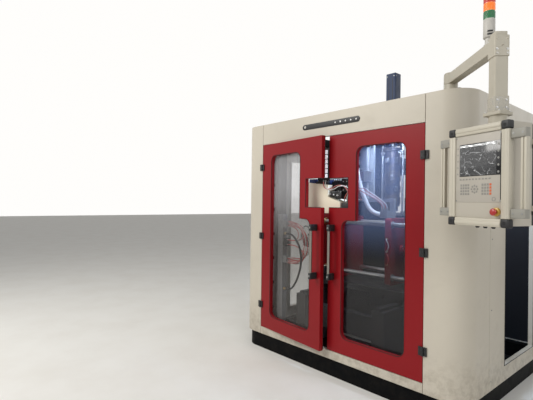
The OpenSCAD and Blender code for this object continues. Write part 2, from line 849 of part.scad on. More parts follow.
// Two long box beams with linear rails, three cross members and the shuttle cylinder
module machine_bed() {
  color("dimgray") {
    for (side = [-1, 1])
      translate([side * rail_x, (beam_y0 + beam_y1) / 2, (plinth_h + bed_z) / 2])
        cube([beam_w, beam_y1 - beam_y0, bed_z - plinth_h], center = true);
    for (y = [beam_y0 + 60, 250, beam_y1 - 80])
      block([-rail_x, rail_x], [y, y + 80], [plinth_h + 200, bed_z - 80]);
    difference() {
      block([-90, 90], [shuttle_cyl_y0, shuttle_cyl_y0 + 30], [bed_z - 81, bed_z + 15]);
      translate([0, shuttle_cyl_y0 - 1, shuttle_z]) rotate([-90, 0, 0])
        cylinder(h = 60, r = shuttle_rod_r + run_gap);
    }
    difference() {
      translate([0, shuttle_cyl_y0 + 30, shuttle_z]) rotate([-90, 0, 0])
        cylinder(h = shuttle_cyl_y1 - shuttle_cyl_y0 - 30, r = shuttle_cyl_r);
      translate([0, shuttle_cyl_y0, shuttle_z]) rotate([-90, 0, 0])
        cylinder(h = shuttle_cyl_y1 - shuttle_cyl_y0 - 15, r = shuttle_rod_r + run_gap);
    }
  }
  color("silver") for (side = [-1, 1])
    translate([side * rail_x, (beam_y0 + beam_y1) / 2, bed_z + rail_h / 2])
      cube([rail_w, beam_y1 - beam_y0 - 20, rail_h], center = true);
}

// Deck on four rail blocks, with the lug and rod of the shuttle cylinder and a junction box
module carriage() {
  block_z0 = bed_z + 6;
  deck_z0 = deck_z - deck_t;
  color("dimgray") {
    block([-deck_w / 2, deck_w / 2], [carriage_c - deck_l / 2, carriage_c + deck_l / 2],
      [deck_z0, deck_z]);
    for (side = [-1, 1], end = [-1, 1])
      translate([side * rail_x, carriage_c + end * (deck_l - rail_block_l) / 2, 0]) difference() {
        block([-rail_block_w / 2, rail_block_w / 2], [-rail_block_l / 2, rail_block_l / 2],
          [block_z0, deck_z0]);
        block([-rail_w / 2 - rail_block_gap, rail_w / 2 + rail_block_gap],
          [-rail_block_l, rail_block_l], [block_z0 - 1, bed_z + rail_h + rail_block_gap]);
      }
    block([-40, 40], [carriage_c + 120, carriage_c + 150], [shuttle_z - 30, deck_z0]);
  }
  color("silver") translate([0, carriage_c + 150, shuttle_z]) rotate([-90, 0, 0])
    cylinder(h = 670, r = shuttle_rod_r);
  color("antiquewhite") block([-590, -400], [carriage_c - 275, carriage_c - 215],
    [deck_z, deck_z + 130]);
}

module clamp_end_plates() {
  color("firebrick") for (side = [-1, 1]) difference() {
    translate([side * (end_plate_x + end_plate_t / 2), carriage_c, (deck_z + end_plate_z1) / 2])
      rotate([0, 90, 0]) linear_extrude(end_plate_t, center = true)
        rounded_rect(end_plate_z1 - deck_z, end_plate_l, 25);
    for (y = [-tie_y, tie_y], z = tie_z)
      translate([0, carriage_c + y, z]) rotate([0, side * 90, 0])
        cylinder(h = end_plate_x + 2 * end_plate_t, r = tie_r);
    translate([0, carriage_c, ram_z]) rotate([0, side * 90, 0])
      cylinder(h = end_plate_x + 2 * end_plate_t, r = ram_r + run_gap);
  }
}

module tie_bars() {
  l = 2 * (end_plate_x + end_plate_t);
  color("silver") for (y = [-tie_y, tie_y], z = tie_z)
    translate([0, carriage_c + y, z]) rotate([0, 90, 0]) {
      cylinder(h = l, r = tie_r, center = true);
      for (side = [-1, 1])
        translate([0, 0, side * (l / 2 + 16)]) cylinder(h = 32, r = tie_r + 14, center = true, $fn = 6);
    }
}

module clamp_cylinders() {
  x0 = end_plate_x + end_plate_t;
  color("dimgray") for (side = [-1, 1])
    translate([0, carriage_c, ram_z]) rotate([0, side * 90, 0]) difference() {
      union() {
        translate([0, 0, x0]) cylinder(h = 28, r = cylinder_r + 28);
        translate([0, 0, x0]) cylinder(h = cylinder_l, r = cylinder_r);
        translate([0, 0, x0 + cylinder_l - 30]) cylinder(h = 30, r = cylinder_r + 12);
      }
      translate([0, 0, x0 - 1]) cylinder(h = cylinder_l - 19, r = ram_r + run_gap);
    }
}

// Platen with clearance bores for the tie bars, mould bolt holes and its ram
module platen() {
  z0 = deck_z + 30;
  color("firebrick") difference() {
    union() {
      translate([platen_x + platen_t / 2, carriage_c, (z0 + platen_z1) / 2]) rotate([0, 90, 0])
        linear_extrude(platen_t, center = true) rounded_rect(platen_z1 - z0, platen_w, 20);
      translate([platen_x + platen_t, carriage_c, ram_z]) rotate([0, 90, 0])
        cylinder(h = 20, r = ram_r + 22);
    }
    for (y = [-tie_y, tie_y], z = tie_z)
      translate([0, carriage_c + y, z]) rotate([0, 90, 0])
        cylinder(h = end_plate_x, r = tie_r + run_gap);
    for (y = [-0.5, 0.5], z = [-0.5, 0.5])
      translate([platen_x - 1, carriage_c + y * mould_bolt_y, mould_bolt_z_mid + z * mould_bolt_z])
        rotate([0, 90, 0]) cylinder(h = 36, r = mould_bolt_r);
  }
  color("silver") translate([platen_x + platen_t + 20, carriage_c, ram_z]) rotate([0, 90, 0])
    cylinder(h = ram_l - 20, r = ram_r);
}

module right_platen() platen();
module left_platen() mirror([1, 0, 0]) platen();

// Cylindrical die head with heater bands, its die ring and the adaptor towards the barrel
module die_head() {
  band_z = [1580, 1700, 1820, 2000];
  color("slategray") translate([head_c[0], head_c[1], 0]) difference() {
    union() {
      translate([0, 0, die_z]) cylinder(h = 50, r = die_r);
      translate([0, 0, die_z + 50]) cylinder(h = head_z1 - die_z - 50, r = head_r - 8);
      for (z = band_z) translate([0, 0, z - 35]) cylinder(h = 70, r = head_r);
      translate([0, 0, head_z1]) cylinder(h = 30, r = head_r + 15);
      translate([0, 0, barrel_z]) rotate([-90, 0, 0]) cylinder(h = head_r - 1, r = barrel_r - 4);
      translate([0, head_r - 1, barrel_z]) rotate([-90, 0, 0]) cylinder(h = 41, r = barrel_r + 30);
    }
    translate([0, 0, die_z - 1]) cylinder(h = 60, r = die_bore_r);
    translate([0, 0, die_z]) cylinder(h = head_z1 - die_z + 60, r = mandrel_r + run_gap);
  }
}

module die_mandrel() {
  color("silver") translate([head_c[0], head_c[1], 0]) {
    translate([0, 0, die_z + 12]) cylinder(h = 26, r1 = die_bore_r - 4, r2 = mandrel_r);
    translate([0, 0, die_z + 38]) cylinder(h = head_z1 + 460 - die_z - 38, r = mandrel_r);
  }
}

// Square blue actuator on four stand-off rods above the head
module parison_actuator() {
  z0 = head_z1 + 30;
  box_z0 = 2440;
  color("steelblue") translate([head_c[0], head_c[1], 0]) {
    difference() {
      translate([0, 0, box_z0]) linear_extrude(actuator_z1 - box_z0)
        rounded_rect(actuator_w, actuator_w, 8);
      translate([0, 0, box_z0 - 1]) cylinder(h = 200, r = mandrel_r + run_gap);
    }
    difference() {
      translate([0, 0, box_z0 - 20]) linear_extrude(20) rounded_rect(180, 150, 10);
      translate([0, 0, box_z0 - 30]) cylinder(h = 40, r = mandrel_r + run_gap);
    }
    for (x = [-1, 1], y = [-1, 1])
      translate([x * 66, y * 50, z0]) cylinder(h = box_z0 - 20 - z0, r = 9);
  }
}

// Two bright rods beside the head that carry the knife beam below it
module hanger_rods() {
  beam_z0 = 1425;
  color("silver") translate([head_c[0], head_c[1], 0]) {
    for (x = [-hanger_x, hanger_x])
      translate([x, 0, beam_z0]) cylinder(h = roof_z0 - beam_z0, r = 11);
    for (y = [-70, 45])
      block([-hanger_x - 25, hanger_x + 25], [y, y + 25], [beam_z0, beam_z0 + 28]);
    for (x = [-hanger_x, hanger_x])
      block([x - 25, x + 25], [-70, 70], [beam_z0, beam_z0 + 28]);
    for (x = [-hanger_x, hanger_x])
      block([x - 20, x + 20], [-20, roof_beam_rear_y + post_w - head_c[1]],
        [roof_z0 - 30, roof_z0]);
    for (side = [-1, 1])
      translate([side * (hanger_x - 13), 0, head_z1 - 12]) cube([48, 40, 24], center = true);
  }
}

// Back plate hung from the roof beam, two shelves, guide rods and the blow cylinder
module blow_frame() {
  plate_t = 20;
  front = pin_c[1] - 60;
  arm_x = 450;
  color("gray") {
    difference() {
      union() {
        block([-shelf_w / 2, shelf_w / 2], [hang_plate_y, hang_plate_y + plate_t],
          [shelf_z[0], roof_z0]);
        block([-shelf_w / 2, shelf_w / 2], [hang_plate_y, roof_beam_front_y + post_w],
          [roof_z0 - 30, roof_z0]);
        for (z = shelf_z)
          block([-shelf_w / 2, shelf_w / 2], [front, hang_plate_y + 1], [z, z + shelf_t]);
        block([60, 120], [hose_y - 30, front + 1], [shelf_z[1], shelf_z[1] + shelf_t]);
      }
      translate([pin_c[0], pin_c[1], shelf_z[0] - 1]) cylinder(h = shelf_t + 2, r = pin_r + 14);
      translate([pin_c[0], pin_c[1], shelf_z[1] - 1])
        cylinder(h = shelf_t + 2, r = blow_rod_r + run_gap);
    }
    block([shelf_w / 2 - 1, arm_x], [front, front + 30], [shelf_z[0], shelf_z[0] + shelf_t]);
    block([arm_x - 40, arm_x], [front, front + 30], [1480, shelf_z[0] + 1]);
    block([380, arm_x], [hose_y - 40, front + 30], [1420, 1481]);
    for (x = [-122, -80])
      block([x - 12, x + 12], [cover_y0 + cover_t, front + 1], [shelf_z[0], shelf_z[0] + shelf_t]);
  }
  color("silver") {
    for (x = [-guide_x, guide_x])
      translate([x, guide_y, shelf_z[0] + shelf_t])
        cylinder(h = shelf_z[1] - shelf_z[0] - shelf_t, r = guide_r);
    difference() {
      translate([pin_c[0], pin_c[1], shelf_z[1] + shelf_t]) cylinder(h = 210, r = 36);
      translate([pin_c[0], pin_c[1], shelf_z[1] + shelf_t - 1])
        cylinder(h = 200, r = blow_rod_r + run_gap);
    }
    translate([90, hose_y, shelf_z[1] - 8]) cylinder(h = 8, r = hose_r + 4);
  }
}

// Slide on the guide rods with the blow pin below and the cylinder rod above
module blow_slide() {
  z1 = slide_z0 + slide_h;
  color("silver") {
    difference() {
      block([-120, 120], [pin_c[1] - 40, guide_y + 30], [slide_z0, z1]);
      for (x = [-guide_x, guide_x])
        translate([x, guide_y, slide_z0 - 1]) cylinder(h = slide_h + 2, r = guide_r + run_gap);
    }
    translate([pin_c[0], pin_c[1], z1]) cylinder(h = 440, r = blow_rod_r);
    translate([pin_c[0], pin_c[1], pin_z + 30]) cylinder(h = slide_z0 - pin_z - 30, r = pin_r);
    translate([pin_c[0], pin_c[1], pin_z]) cylinder(h = 30, r = pin_r - 6);
  }
}

// Front outline of the cream cover, moved inwards by d
module cover_outline(d) {
  x0 = cover_x[0] + d;
  z = cover_z;
  polygon([[x0, z[0] + d], [cover_x[2] - d, z[0] + d], [cover_x[2] - d, z[1] - d],
    [cover_x[1] - d, z[2] - d], [cover_x[1] - d, z[3] - d], [x0, z[4] - d]]);
}

// Folded cover open at the back
module blow_cover() {
  color("antiquewhite") translate([0, cover_y0 + cover_d, 0]) rotate([90, 0, 0]) difference() {
    linear_extrude(cover_d) cover_outline(0);
    translate([0, 0, -1]) linear_extrude(cover_d + 1 - cover_t) cover_outline(cover_t);
  }
}

// Valve block on the right wall of the cover, with push-in fittings
module valve_block() {
  x0 = cover_x[2];
  y0 = cover_y0 + 20;
  z1 = cover_z[1] - 10;
  color("black") block([x0, x0 + 110], [y0, y0 + 90], [cover_z[0] + 20, z1]);
  color("silver") for (i = [0:3], j = [0, 1])
    translate([x0 + 18 + i * 25, y0 + 25 + j * 40, z1]) cylinder(h = 22, r = 8);
}

// Column at the left with the two junction blocks of the air tubes
module service_column() {
  y = [front_y + column_y, front_y + column_y + column_d];
  color("lightgray") block([column_x, column_x + column_w], y, [plinth_h, column_z1]);
  color("black") for (z = junction_z)
    block([column_x + column_w, column_x + column_w + junction_w], [y[0] + 5, y[1] - 5],
      [z, z + junction_h]);
}

// Stand on four legs with foot plates behind the enclosure
module extruder_stand() {
  half = leg_w / 2;
  color("dimgray") {
    for (x = [-stand_x, stand_x], y = stand_y) {
      block([x - half, x + half], [y - half, y + half], [foot_t, stand_z - deck_h]);
      block([x - leg_w, x + leg_w], [y - leg_w, y + leg_w], [0, foot_t]);
    }
    block([-stand_x - half, stand_x + half], [stand_y[0] - half, stand_y[1] + half],
      [stand_z - deck_h, stand_z]);
  }
}

module gearbox() {
  y0 = throat_y + throat_l;
  color("steelblue") {
    block([-gearbox_w / 2, gearbox_w / 2], [y0, y0 + gearbox_l], [stand_z + 30, gearbox_z1]);
    block([-gearbox_w / 2 - 40, gearbox_w / 2 + 40], [y0 + 20, y0 + gearbox_l - 20],
      [stand_z, stand_z + 30]);
  }
}

// Barrel with heater bands, adaptor flange and the square feed throat
module barrel() {
  y0 = head_c[1] + head_r + 40;
  l = throat_y - y0;
  bands = 5;
  color("slategray") {
    translate([0, y0, barrel_z]) rotate([-90, 0, 0]) {
      cylinder(h = l, r = barrel_r);
      cylinder(h = 40, r = barrel_r + 30);
      for (i = [0:bands - 1])
        translate([0, 0, 70 + i * (l - 90) / bands]) cylinder(h = (l - 90) / bands - 30, r = barrel_r + 16);
    }
    difference() {
      block([-throat_w / 2, throat_w / 2], [throat_y, throat_y + throat_l],
        [barrel_z - throat_w / 2, barrel_z + throat_w / 2]);
      translate([0, throat_y + throat_l / 2, barrel_z]) cylinder(h = throat_w, r = hopper_neck_r - 8);
    }
    block([-throat_w / 2, throat_w / 2], [throat_y + 20, throat_y + throat_l - 20],
      [stand_z, barrel_z - throat_w / 2 + 1]);
  }
}

hopper_c = [0, throat_y + throat_l / 2];

// Round sheet hopper on a flange
module hopper() {
  cone_z1 = hopper_z0 + 400;
  color("silver") translate([hopper_c[0], hopper_c[1], 0]) {
    rotate_extrude() polygon([
      [hopper_neck_r, hopper_z0], [hopper_neck_r + 40, hopper_z0], [hopper_neck_r + 40, hopper_z0 + 12],
      [hopper_neck_r + hopper_t, hopper_z0 + 12], [hopper_r, cone_z1], [hopper_r, hopper_z1],
      [hopper_r - hopper_t, hopper_z1], [hopper_r - hopper_t, cone_z1 + 1],
      [hopper_neck_r, hopper_z0 + 13]]);
    for (x = [-40, 40])
      difference() {
        translate([x - 8, hopper_r - 6, hopper_z1 - 30]) cube([16, 34, 29]);
        translate([x - 10, hopper_r + 18, hopper_z1 - lid_axis_drop]) rotate([0, 90, 0])
          cylinder(h = 20, r = lid_hinge_r + run_gap);
      }
  }
}

module hopper_lid() {
  z = hopper_z1 + 0.5;
  color("silver") translate([hopper_c[0], hopper_c[1], 0]) {
    translate([0, 0, z]) cylinder(h = lid_t, r = hopper_r + 6);
    translate([0, -hopper_r + 60, z + lid_t - 1]) cylinder(h = 30, r = 14);
    block([-24, 24], [hopper_r - 10, hopper_r + 28], [z + lid_t, z + lid_t + 6]);
    block([-24, 24], [hopper_r + 8, hopper_r + 28], [hopper_z1 - lid_axis_drop - 8, z + lid_t + 1]);
    translate([-52, hopper_r + 18, hopper_z1 - lid_axis_drop]) rotate([0, 90, 0])
      cylinder(h = 104, r = lid_hinge_r);
  }
}

// Finned motor flanged to the gearbox
module motor() {
  y0 = throat_y + throat_l + gearbox_l;
  fins = 9;
  color("steelblue") translate([0, y0, barrel_z - 60]) rotate([-90, 0, 0]) {
    cylinder(h = motor_l, r = motor_r - 14);
    cylinder(h = 24, r = motor_r + 15);
    for (i = [0:fins - 1])
      translate([0, 0, 50 + i * 26]) cylinder(h = 8, r = motor_r);
    translate([0, 0, motor_l - 120]) cylinder(h = 120, r = motor_r);
  }
}

module ribbed_hose() color("white") swept_tube(hose_route, hose_r);

base_frame();
enclosure_posts();
roof_frame();
header_panel();
sill_panel();
left_corner_panel();
right_corner_panel();
left_side_panel();
right_side_panel();
rear_panels();
name_plate();
frame_hinge_leaves();
left_door();
left_window();
left_handle();
left_hinge_leaves();
right_door();
right_window();
right_handle();
right_hinge_leaves();
arm_base();
support_arm();
arm_head();
drop_tube();
lamp_base();
lamp_green();
lamp_amber();
lamp_red();
panel_coupling();
panel_housing();
panel_frame();
panel_rear_cover();
panel_fascia();
panel_screen();
panel_grips();
stop_collar();
stop_button();
machine_bed();
carriage();
clamp_end_plates();
tie_bars();
clamp_cylinders();
left_platen();
right_platen();
die_head();
die_mandrel();
parison_actuator();
hanger_rods();
blow_frame();
blow_slide();
blow_cover();
valve_block();
service_column();
extruder_stand();
gearbox();
barrel();
hopper();
hopper_lid();
motor();
ribbed_hose();
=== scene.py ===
"""Looks of a single-station blow moulding machine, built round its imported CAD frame.

Shapes are in millimetres in the frame of the body that they ride on; Part.make() puts them in metres.
"""
import json
import math

import bmesh
import bpy
from mathutils import Matrix, Vector, noise


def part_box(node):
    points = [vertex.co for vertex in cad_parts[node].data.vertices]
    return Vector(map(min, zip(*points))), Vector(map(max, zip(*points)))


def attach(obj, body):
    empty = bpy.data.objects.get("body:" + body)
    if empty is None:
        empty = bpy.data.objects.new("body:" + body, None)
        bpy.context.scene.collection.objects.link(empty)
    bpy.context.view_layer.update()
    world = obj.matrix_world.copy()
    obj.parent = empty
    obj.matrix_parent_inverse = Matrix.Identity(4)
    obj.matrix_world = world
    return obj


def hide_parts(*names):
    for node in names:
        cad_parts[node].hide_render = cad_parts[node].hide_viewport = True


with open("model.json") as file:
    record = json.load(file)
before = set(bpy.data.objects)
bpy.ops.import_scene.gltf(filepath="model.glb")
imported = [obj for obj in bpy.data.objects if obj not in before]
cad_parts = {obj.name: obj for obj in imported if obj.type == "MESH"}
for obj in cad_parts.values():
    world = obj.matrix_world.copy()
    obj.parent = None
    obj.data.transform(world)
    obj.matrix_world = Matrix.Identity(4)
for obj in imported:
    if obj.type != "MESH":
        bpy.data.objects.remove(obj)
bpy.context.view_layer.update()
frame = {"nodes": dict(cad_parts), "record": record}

nodes = frame["nodes"]
record = frame["record"]
body_of = {node: body for body, names in record["behaviour"]["bodies"].items() for node in names}
slot_of = {row["node"]: row["material_slot"] for row in record["subparts"]}
pivot_of = {joint["name"]: joint.get("pos_m") for joint in record["behaviour"]["joints"]}


def linked(name, data):
    """Object of some data, linked to the scene."""
    obj = bpy.data.objects.new(name, data)
    bpy.context.scene.collection.objects.link(obj)
    return obj


# Camera, fitted to the front wall, the doors and the handles
photo_w, focal_px, sensor_w = 533, 413.93, 36.0
camera_at = Vector((2.4078, -3.8259, 1.5441))
camera_yaw, camera_pitch, camera_roll = 48.47, 0.299, 0.776


def add_camera():
    yaw, pitch, roll = (math.radians(a) for a in (camera_yaw, camera_pitch, camera_roll))
    ahead = Vector((-math.sin(yaw) * math.cos(pitch), math.cos(yaw) * math.cos(pitch), math.sin(pitch)))
    right = ahead.cross(Vector((0, 0, 1))).normalized()
    up = right.cross(ahead)
    right, up = (right * math.cos(roll) + up * math.sin(roll),
                 up * math.cos(roll) - right * math.sin(roll))
    data = bpy.data.cameras.new("camera")
    data.sensor_width = sensor_w
    data.lens = focal_px / photo_w * sensor_w
    data.clip_end = 200
    camera = linked("camera", data)
    camera.matrix_world = Matrix.Translation(camera_at) @ Matrix((right, up, -ahead)).transposed().to_4x4()
    bpy.context.scene.camera = camera


# Frames of the moving groups, from millimetres to metres
mm = 0.001
door_ajar, arm_turn, panel_turn = 6, 44, 19
to_metres = Matrix.Scale(mm, 4)


def turned(degrees, axis="Z"):
    return Matrix.Rotation(math.radians(degrees), 4, axis)


def group_frame(pivot, degrees):
    """Frame of a group that stands on a vertical axis, in millimetres with heights from the floor."""
    return Matrix.Translation((pivot[0], pivot[1], 0)) @ turned(degrees) @ to_metres


door_pivot = Matrix.Translation(pivot_of["left_door_hinge"])
left_door_frame = door_pivot @ turned(-door_ajar) @ door_pivot.inverted() @ to_metres
arm_frame = group_frame(pivot_of["arm_swivel"], -arm_turn)
panel_frame = group_frame(pivot_of["panel_swivel"], -panel_turn)
place_of = {"left_door_leaf": left_door_frame, "arm": arm_frame, "panel": panel_frame,
            "rear_cover": panel_frame, "stop": panel_frame}


# Shader maths

class Sock:
    """One output of a material's nodes, which takes part in Python expressions."""

    def __init__(self, shader, output):
        self.shader, self.output = shader, output

    def maths(self, operation, *values):
        return self.shader.node("ShaderNodeMath", dict(enumerate(values)), operation=operation)

    def __add__(self, other):
        return self.maths("ADD", self, other)

    def __sub__(self, other):
        return self.maths("SUBTRACT", self, other)

    def __rsub__(self, other):
        return self.maths("SUBTRACT", other, self)

    def __mul__(self, other):
        return self.maths("MULTIPLY", self, other)

    def __neg__(self):
        return self * -1

    __radd__, __rmul__ = __add__, __mul__

    def at_most(self, other):
        return self.maths("MINIMUM", self, other)

    def at_least(self, other):
        return self.maths("MAXIMUM", self, other)

    def smooth(self, low, high):
        """0 below low, 1 above high and smooth between them."""
        return self.shader.node("ShaderNodeMapRange", {"Value": self, "From Min": low, "From Max": high},
                                interpolation_type="SMOOTHSTEP")


finish = {}


class Shader:
    """Nodes of a material, or of the world, that are built by expressions."""

    def __init__(self, name, owner=None):
        self.name, self.owner = name, owner or bpy.data.materials.new(name)
        self.owner.use_nodes = True
        self.tree = self.owner.node_tree
        self.tree.nodes.clear()
        if not owner:
            self.place = self.node("ShaderNodeTexCoord", out="Object")

    def node(self, kind, inputs=None, out=0, stops=None, **settings):
        """Adds a node: its settings first, then the stops of a ramp, then its sockets."""
        made = self.tree.nodes.new(kind)
        for name, value in settings.items():
            setattr(made, name, value)
        if stops:
            ramp = made.color_ramp.elements
            while len(ramp) < len(stops):
                ramp.new(1.0)
            for element, (at, colour) in zip(ramp, stops):
                element.position, element.color = at, colour
        for name, value in (inputs or {}).items():
            if isinstance(value, Sock):
                self.tree.links.new(value.output, made.inputs[name])
            else:
                made.inputs[name].default_value = value
        return Sock(self, made.outputs[out]) if made.outputs else None

    def axis(self, name, vector=None):
        return self.node("ShaderNodeSeparateXYZ", {"Vector": vector or self.place}, out=name)

    def stretched(self, x, y, z):
        return self.node("ShaderNodeMapping", {"Vector": self.place, "Scale": (x, y, z)})

    def grain(self, scale, detail=2.0, roughness=0.5, at=None):
        return self.node("ShaderNodeTexNoise", {"Vector": at or self.place, "Scale": scale,
                                                "Detail": detail, "Roughness": roughness})

    def mix(self, mask, first, second):
        """Mix of two colours, or links of colours, by a mask."""
        return self.node("ShaderNodeMix", {0: mask, 6: first, 7: second}, out=2, data_type="RGBA")

    def bump(self, height, strength, distance):
        return self.node("ShaderNodeBump", {"Height": height, "Strength": strength, "Distance": distance})

    def surface(self, **sockets):
        """Ends the material with a Principled shader; socket names have _ for a space."""
        inputs = {name.replace("_", " "): value for name, value in sockets.items()}
        self.node("ShaderNodeOutputMaterial", {"Surface": self.node("ShaderNodeBsdfPrincipled", inputs)})
        finish[self.name] = self.owner


def tone(*colour):
    """Linear colour of an sRGB colour in 0 to 255."""
    parts = (value / 255 for value in colour)
    return tuple(v / 12.92 if v <= 0.04045 else ((v + 0.055) / 1.055) ** 2.4 for v in parts) + (1.0,)


def shade_of(colour, factor):
    return tuple(min(1.0, c * factor) for c in colour[:3]) + (1.0,)


# Finishes

def powder_coat(name, colour, roughness=0.42, peel=0.10, dust=0.0, dust_height=0.5, coat=0.0,
                specular=0.4, shaded_inside=False):
    """Sprayed coat with a slight orange peel, uneven tone, rubbed patches and floor dust; one shaded inside
    gets painted shade, a dark tone, on its inner side."""
    s = Shader(name)
    cloud = s.grain(1.3, 4.0)
    fine = s.grain(420.0, 1.0)
    patch = s.grain(7.0, 5.0, 0.62).smooth(0.52, 0.74)
    base = s.mix(cloud.smooth(0.3, 0.7), shade_of(colour, 0.95), shade_of(colour, 1.04))
    base = s.mix(patch * 0.22, base, shade_of(colour, 0.86))
    if dust:
        low = (1 - s.axis("Z").smooth(0.16, dust_height)) * s.grain(16.0, 5.0, 0.66).smooth(0.36, 0.72)
        base = s.mix(low * dust, base, tone(134, 122, 104))
    if shaded_inside:
        # Painted shade: faces turned to the front, such as the rear panels' inner side, take a dark tone as
        # if unlit inside.
        facing = s.axis("Y", s.node("ShaderNodeTexCoord", out="Normal"))
        base = s.mix((-facing).smooth(0.5, 0.9), base, tone(30, 31, 35))
    s.surface(Base_Color=base, Roughness=roughness + patch * 0.12 + fine * 0.04,
              Specular_IOR_Level=specular, Coat_Weight=coat, Coat_Roughness=0.16,
              Normal=s.bump(fine + s.grain(90.0, 2.0) * 1.6, peel, 0.0006))


def brushed_metal(name, colour, roughness=0.30):
    """Drawn or brushed metal with its lines round the long axis."""
    s = Shader(name)
    brush = s.grain(1.0, 3.0, 0.7, at=s.stretched(14.0, 14.0, 900.0))
    stain = s.grain(9.0, 4.0)
    base = s.mix(brush.smooth(0.25, 0.75), shade_of(colour, 0.84), shade_of(colour, 1.1))
    base = s.mix(stain.smooth(0.5, 0.8) * 0.3, base, shade_of(colour, 0.72))
    s.surface(Base_Color=base, Metallic=1.0, Roughness=roughness + brush * 0.14,
              Normal=s.bump(brush, 0.12, 0.0003))


def bright_steel(name, colour, roughness=0.16):
    """Ground and chromed bar with a few oil marks."""
    s = Shader(name)
    mark = s.grain(24.0, 5.0, 0.6).smooth(0.5, 0.8)
    base = s.mix(mark * 0.45, colour, shade_of(colour, 0.7))
    s.surface(Base_Color=base, Metallic=1.0, Roughness=roughness + mark * 0.16,
              Normal=s.bump(s.grain(300.0, 2.0), 0.05, 0.0002))


def moulded_plastic(name, colour, roughness=0.5, grain=0.16, scale=700.0):
    """Moulded plastic with a spark-eroded grain and faint handling marks."""
    s = Shader(name)
    skin = s.grain(scale, 2.0)
    worn = s.grain(11.0, 5.0, 0.6).smooth(0.5, 0.78)
    s.surface(Base_Color=s.mix(worn * 0.35, colour, shade_of(colour, 1.25)),
              Roughness=roughness + skin * 0.1 - worn * 0.08, Normal=s.bump(skin, grain, 0.0004))


def gloss_plastic(name, colour, roughness=0.18):
    s = Shader(name)
    haze = s.grain(18.0, 4.0).smooth(0.42, 0.75)
    s.surface(Base_Color=s.mix(haze * 0.3, colour, shade_of(colour, 0.82)), Roughness=roughness + haze * 0.12,
              Coat_Weight=0.4, Coat_Roughness=0.08, Normal=s.bump(s.grain(60.0, 2.0), 0.04, 0.0006))


def clear_sheet(name, painted_shade_low, painted_light_high, low_cover, high_cover, streak):
    """Clear plastic sheet: haze and wiped streaks show as a thin cover. Its tint and cover change upwards as
    painted light: a darker painted shade low down and a lighter painted reflection higher up.
    """
    s = Shader(name)
    # Painted light: the sheet's tint goes from a painted shade below to a painted reflection above, and its
    # cover changes with it.
    up = s.axis("Z").smooth(1.05, 1.75)
    wipe = s.grain(1.0, 3.0, 0.5, at=s.stretched(16.0, 16.0, 2.4)).smooth(0.40, 0.85)
    smear = s.grain(2.6, 4.0, 0.5).smooth(0.40, 0.8)
    haze = (wipe + smear * 1.2) * streak + up * (high_cover - low_cover) + low_cover
    base = s.mix(smear * 0.5, s.mix(up, painted_shade_low, painted_light_high), shade_of(painted_shade_low, 1.25))
    s.surface(Base_Color=base, Alpha=haze.at_most(0.92), Roughness=wipe * 0.12 + 0.05,
              Specular_IOR_Level=0.6, Normal=s.bump(s.grain(2.5, 2.0), 0.05, 0.004))


def lamp_lens(name, colour, glow):
    """Ribbed lens of a signal lamp with a light behind it."""
    s = Shader(name)
    rib = s.node("ShaderNodeTexWave", {"Vector": s.place, "Scale": 60.0, "Distortion": 0.0},
                 wave_type="BANDS", bands_direction="X")
    s.surface(Base_Color=s.mix(rib * 0.4, colour, shade_of(colour, 0.7)), Roughness=0.16 + rib * 0.1,
              Emission_Color=s.mix(rib, shade_of(colour, 0.8), colour), Emission_Strength=glow,
              Coat_Weight=0.5, Normal=s.bump(rib, 0.25, 0.0015))


def hot_steel(name, colour):
    """Machined steel that heat has tinted straw, brown and blue."""
    s = Shader(name)
    heat = s.grain(5.0, 4.0, 0.6)
    tint = s.node("ShaderNodeValToRGB", {"Fac": heat}, stops=[
        (0.30, tone(112, 108, 104)), (0.46, tone(132, 112, 86)), (0.58, tone(96, 84, 92)),
        (0.72, tone(70, 78, 98))])
    lathe = s.grain(1.0, 2.0, 0.6, at=s.stretched(20.0, 20.0, 700.0))
    s.surface(Base_Color=s.mix(0.55, colour, tint), Metallic=0.85, Roughness=0.34 + heat * 0.2,
              Normal=s.bump(lathe, 0.15, 0.0004))


def glow(name, colour, strength):
    s = Shader(name)
    lit = s.mix(s.grain(12.0, 2.0) * 0.3, colour, shade_of(colour, 0.9))
    s.surface(Base_Color=lit, Roughness=0.4, Emission_Color=lit, Emission_Strength=strength)


def wrapped_film(name):
    """Crumpled clear film left on the screen glass; its folds and crests show as light silver lines, a
    painted highlight.
    """
    s = Shader(name)
    crumple = s.node("ShaderNodeTexVoronoi", {"Vector": s.place, "Scale": 26.0, "Randomness": 1.0},
                     feature="DISTANCE_TO_EDGE")
    fold = s.grain(38.0, 6.0, 0.7, at=s.stretched(1.0, 1.0, 2.2))
    crest = (1 - crumple.smooth(0.0, 0.05)) * fold.smooth(0.46, 0.6)
    # Painted highlight: folds and crests are made lighter and less clear, as if they catch the light.
    painted_glint = fold.smooth(0.62, 0.70) * 0.6 + crest * 0.9
    s.surface(Base_Color=tone(206, 208, 212), Alpha=(painted_glint + 0.10).at_most(0.85),
              Roughness=0.12 + fold * 0.2, Normal=s.bump(fold + crumple * 2.0, 0.6, 0.003))


cream = tone(197, 190, 176)
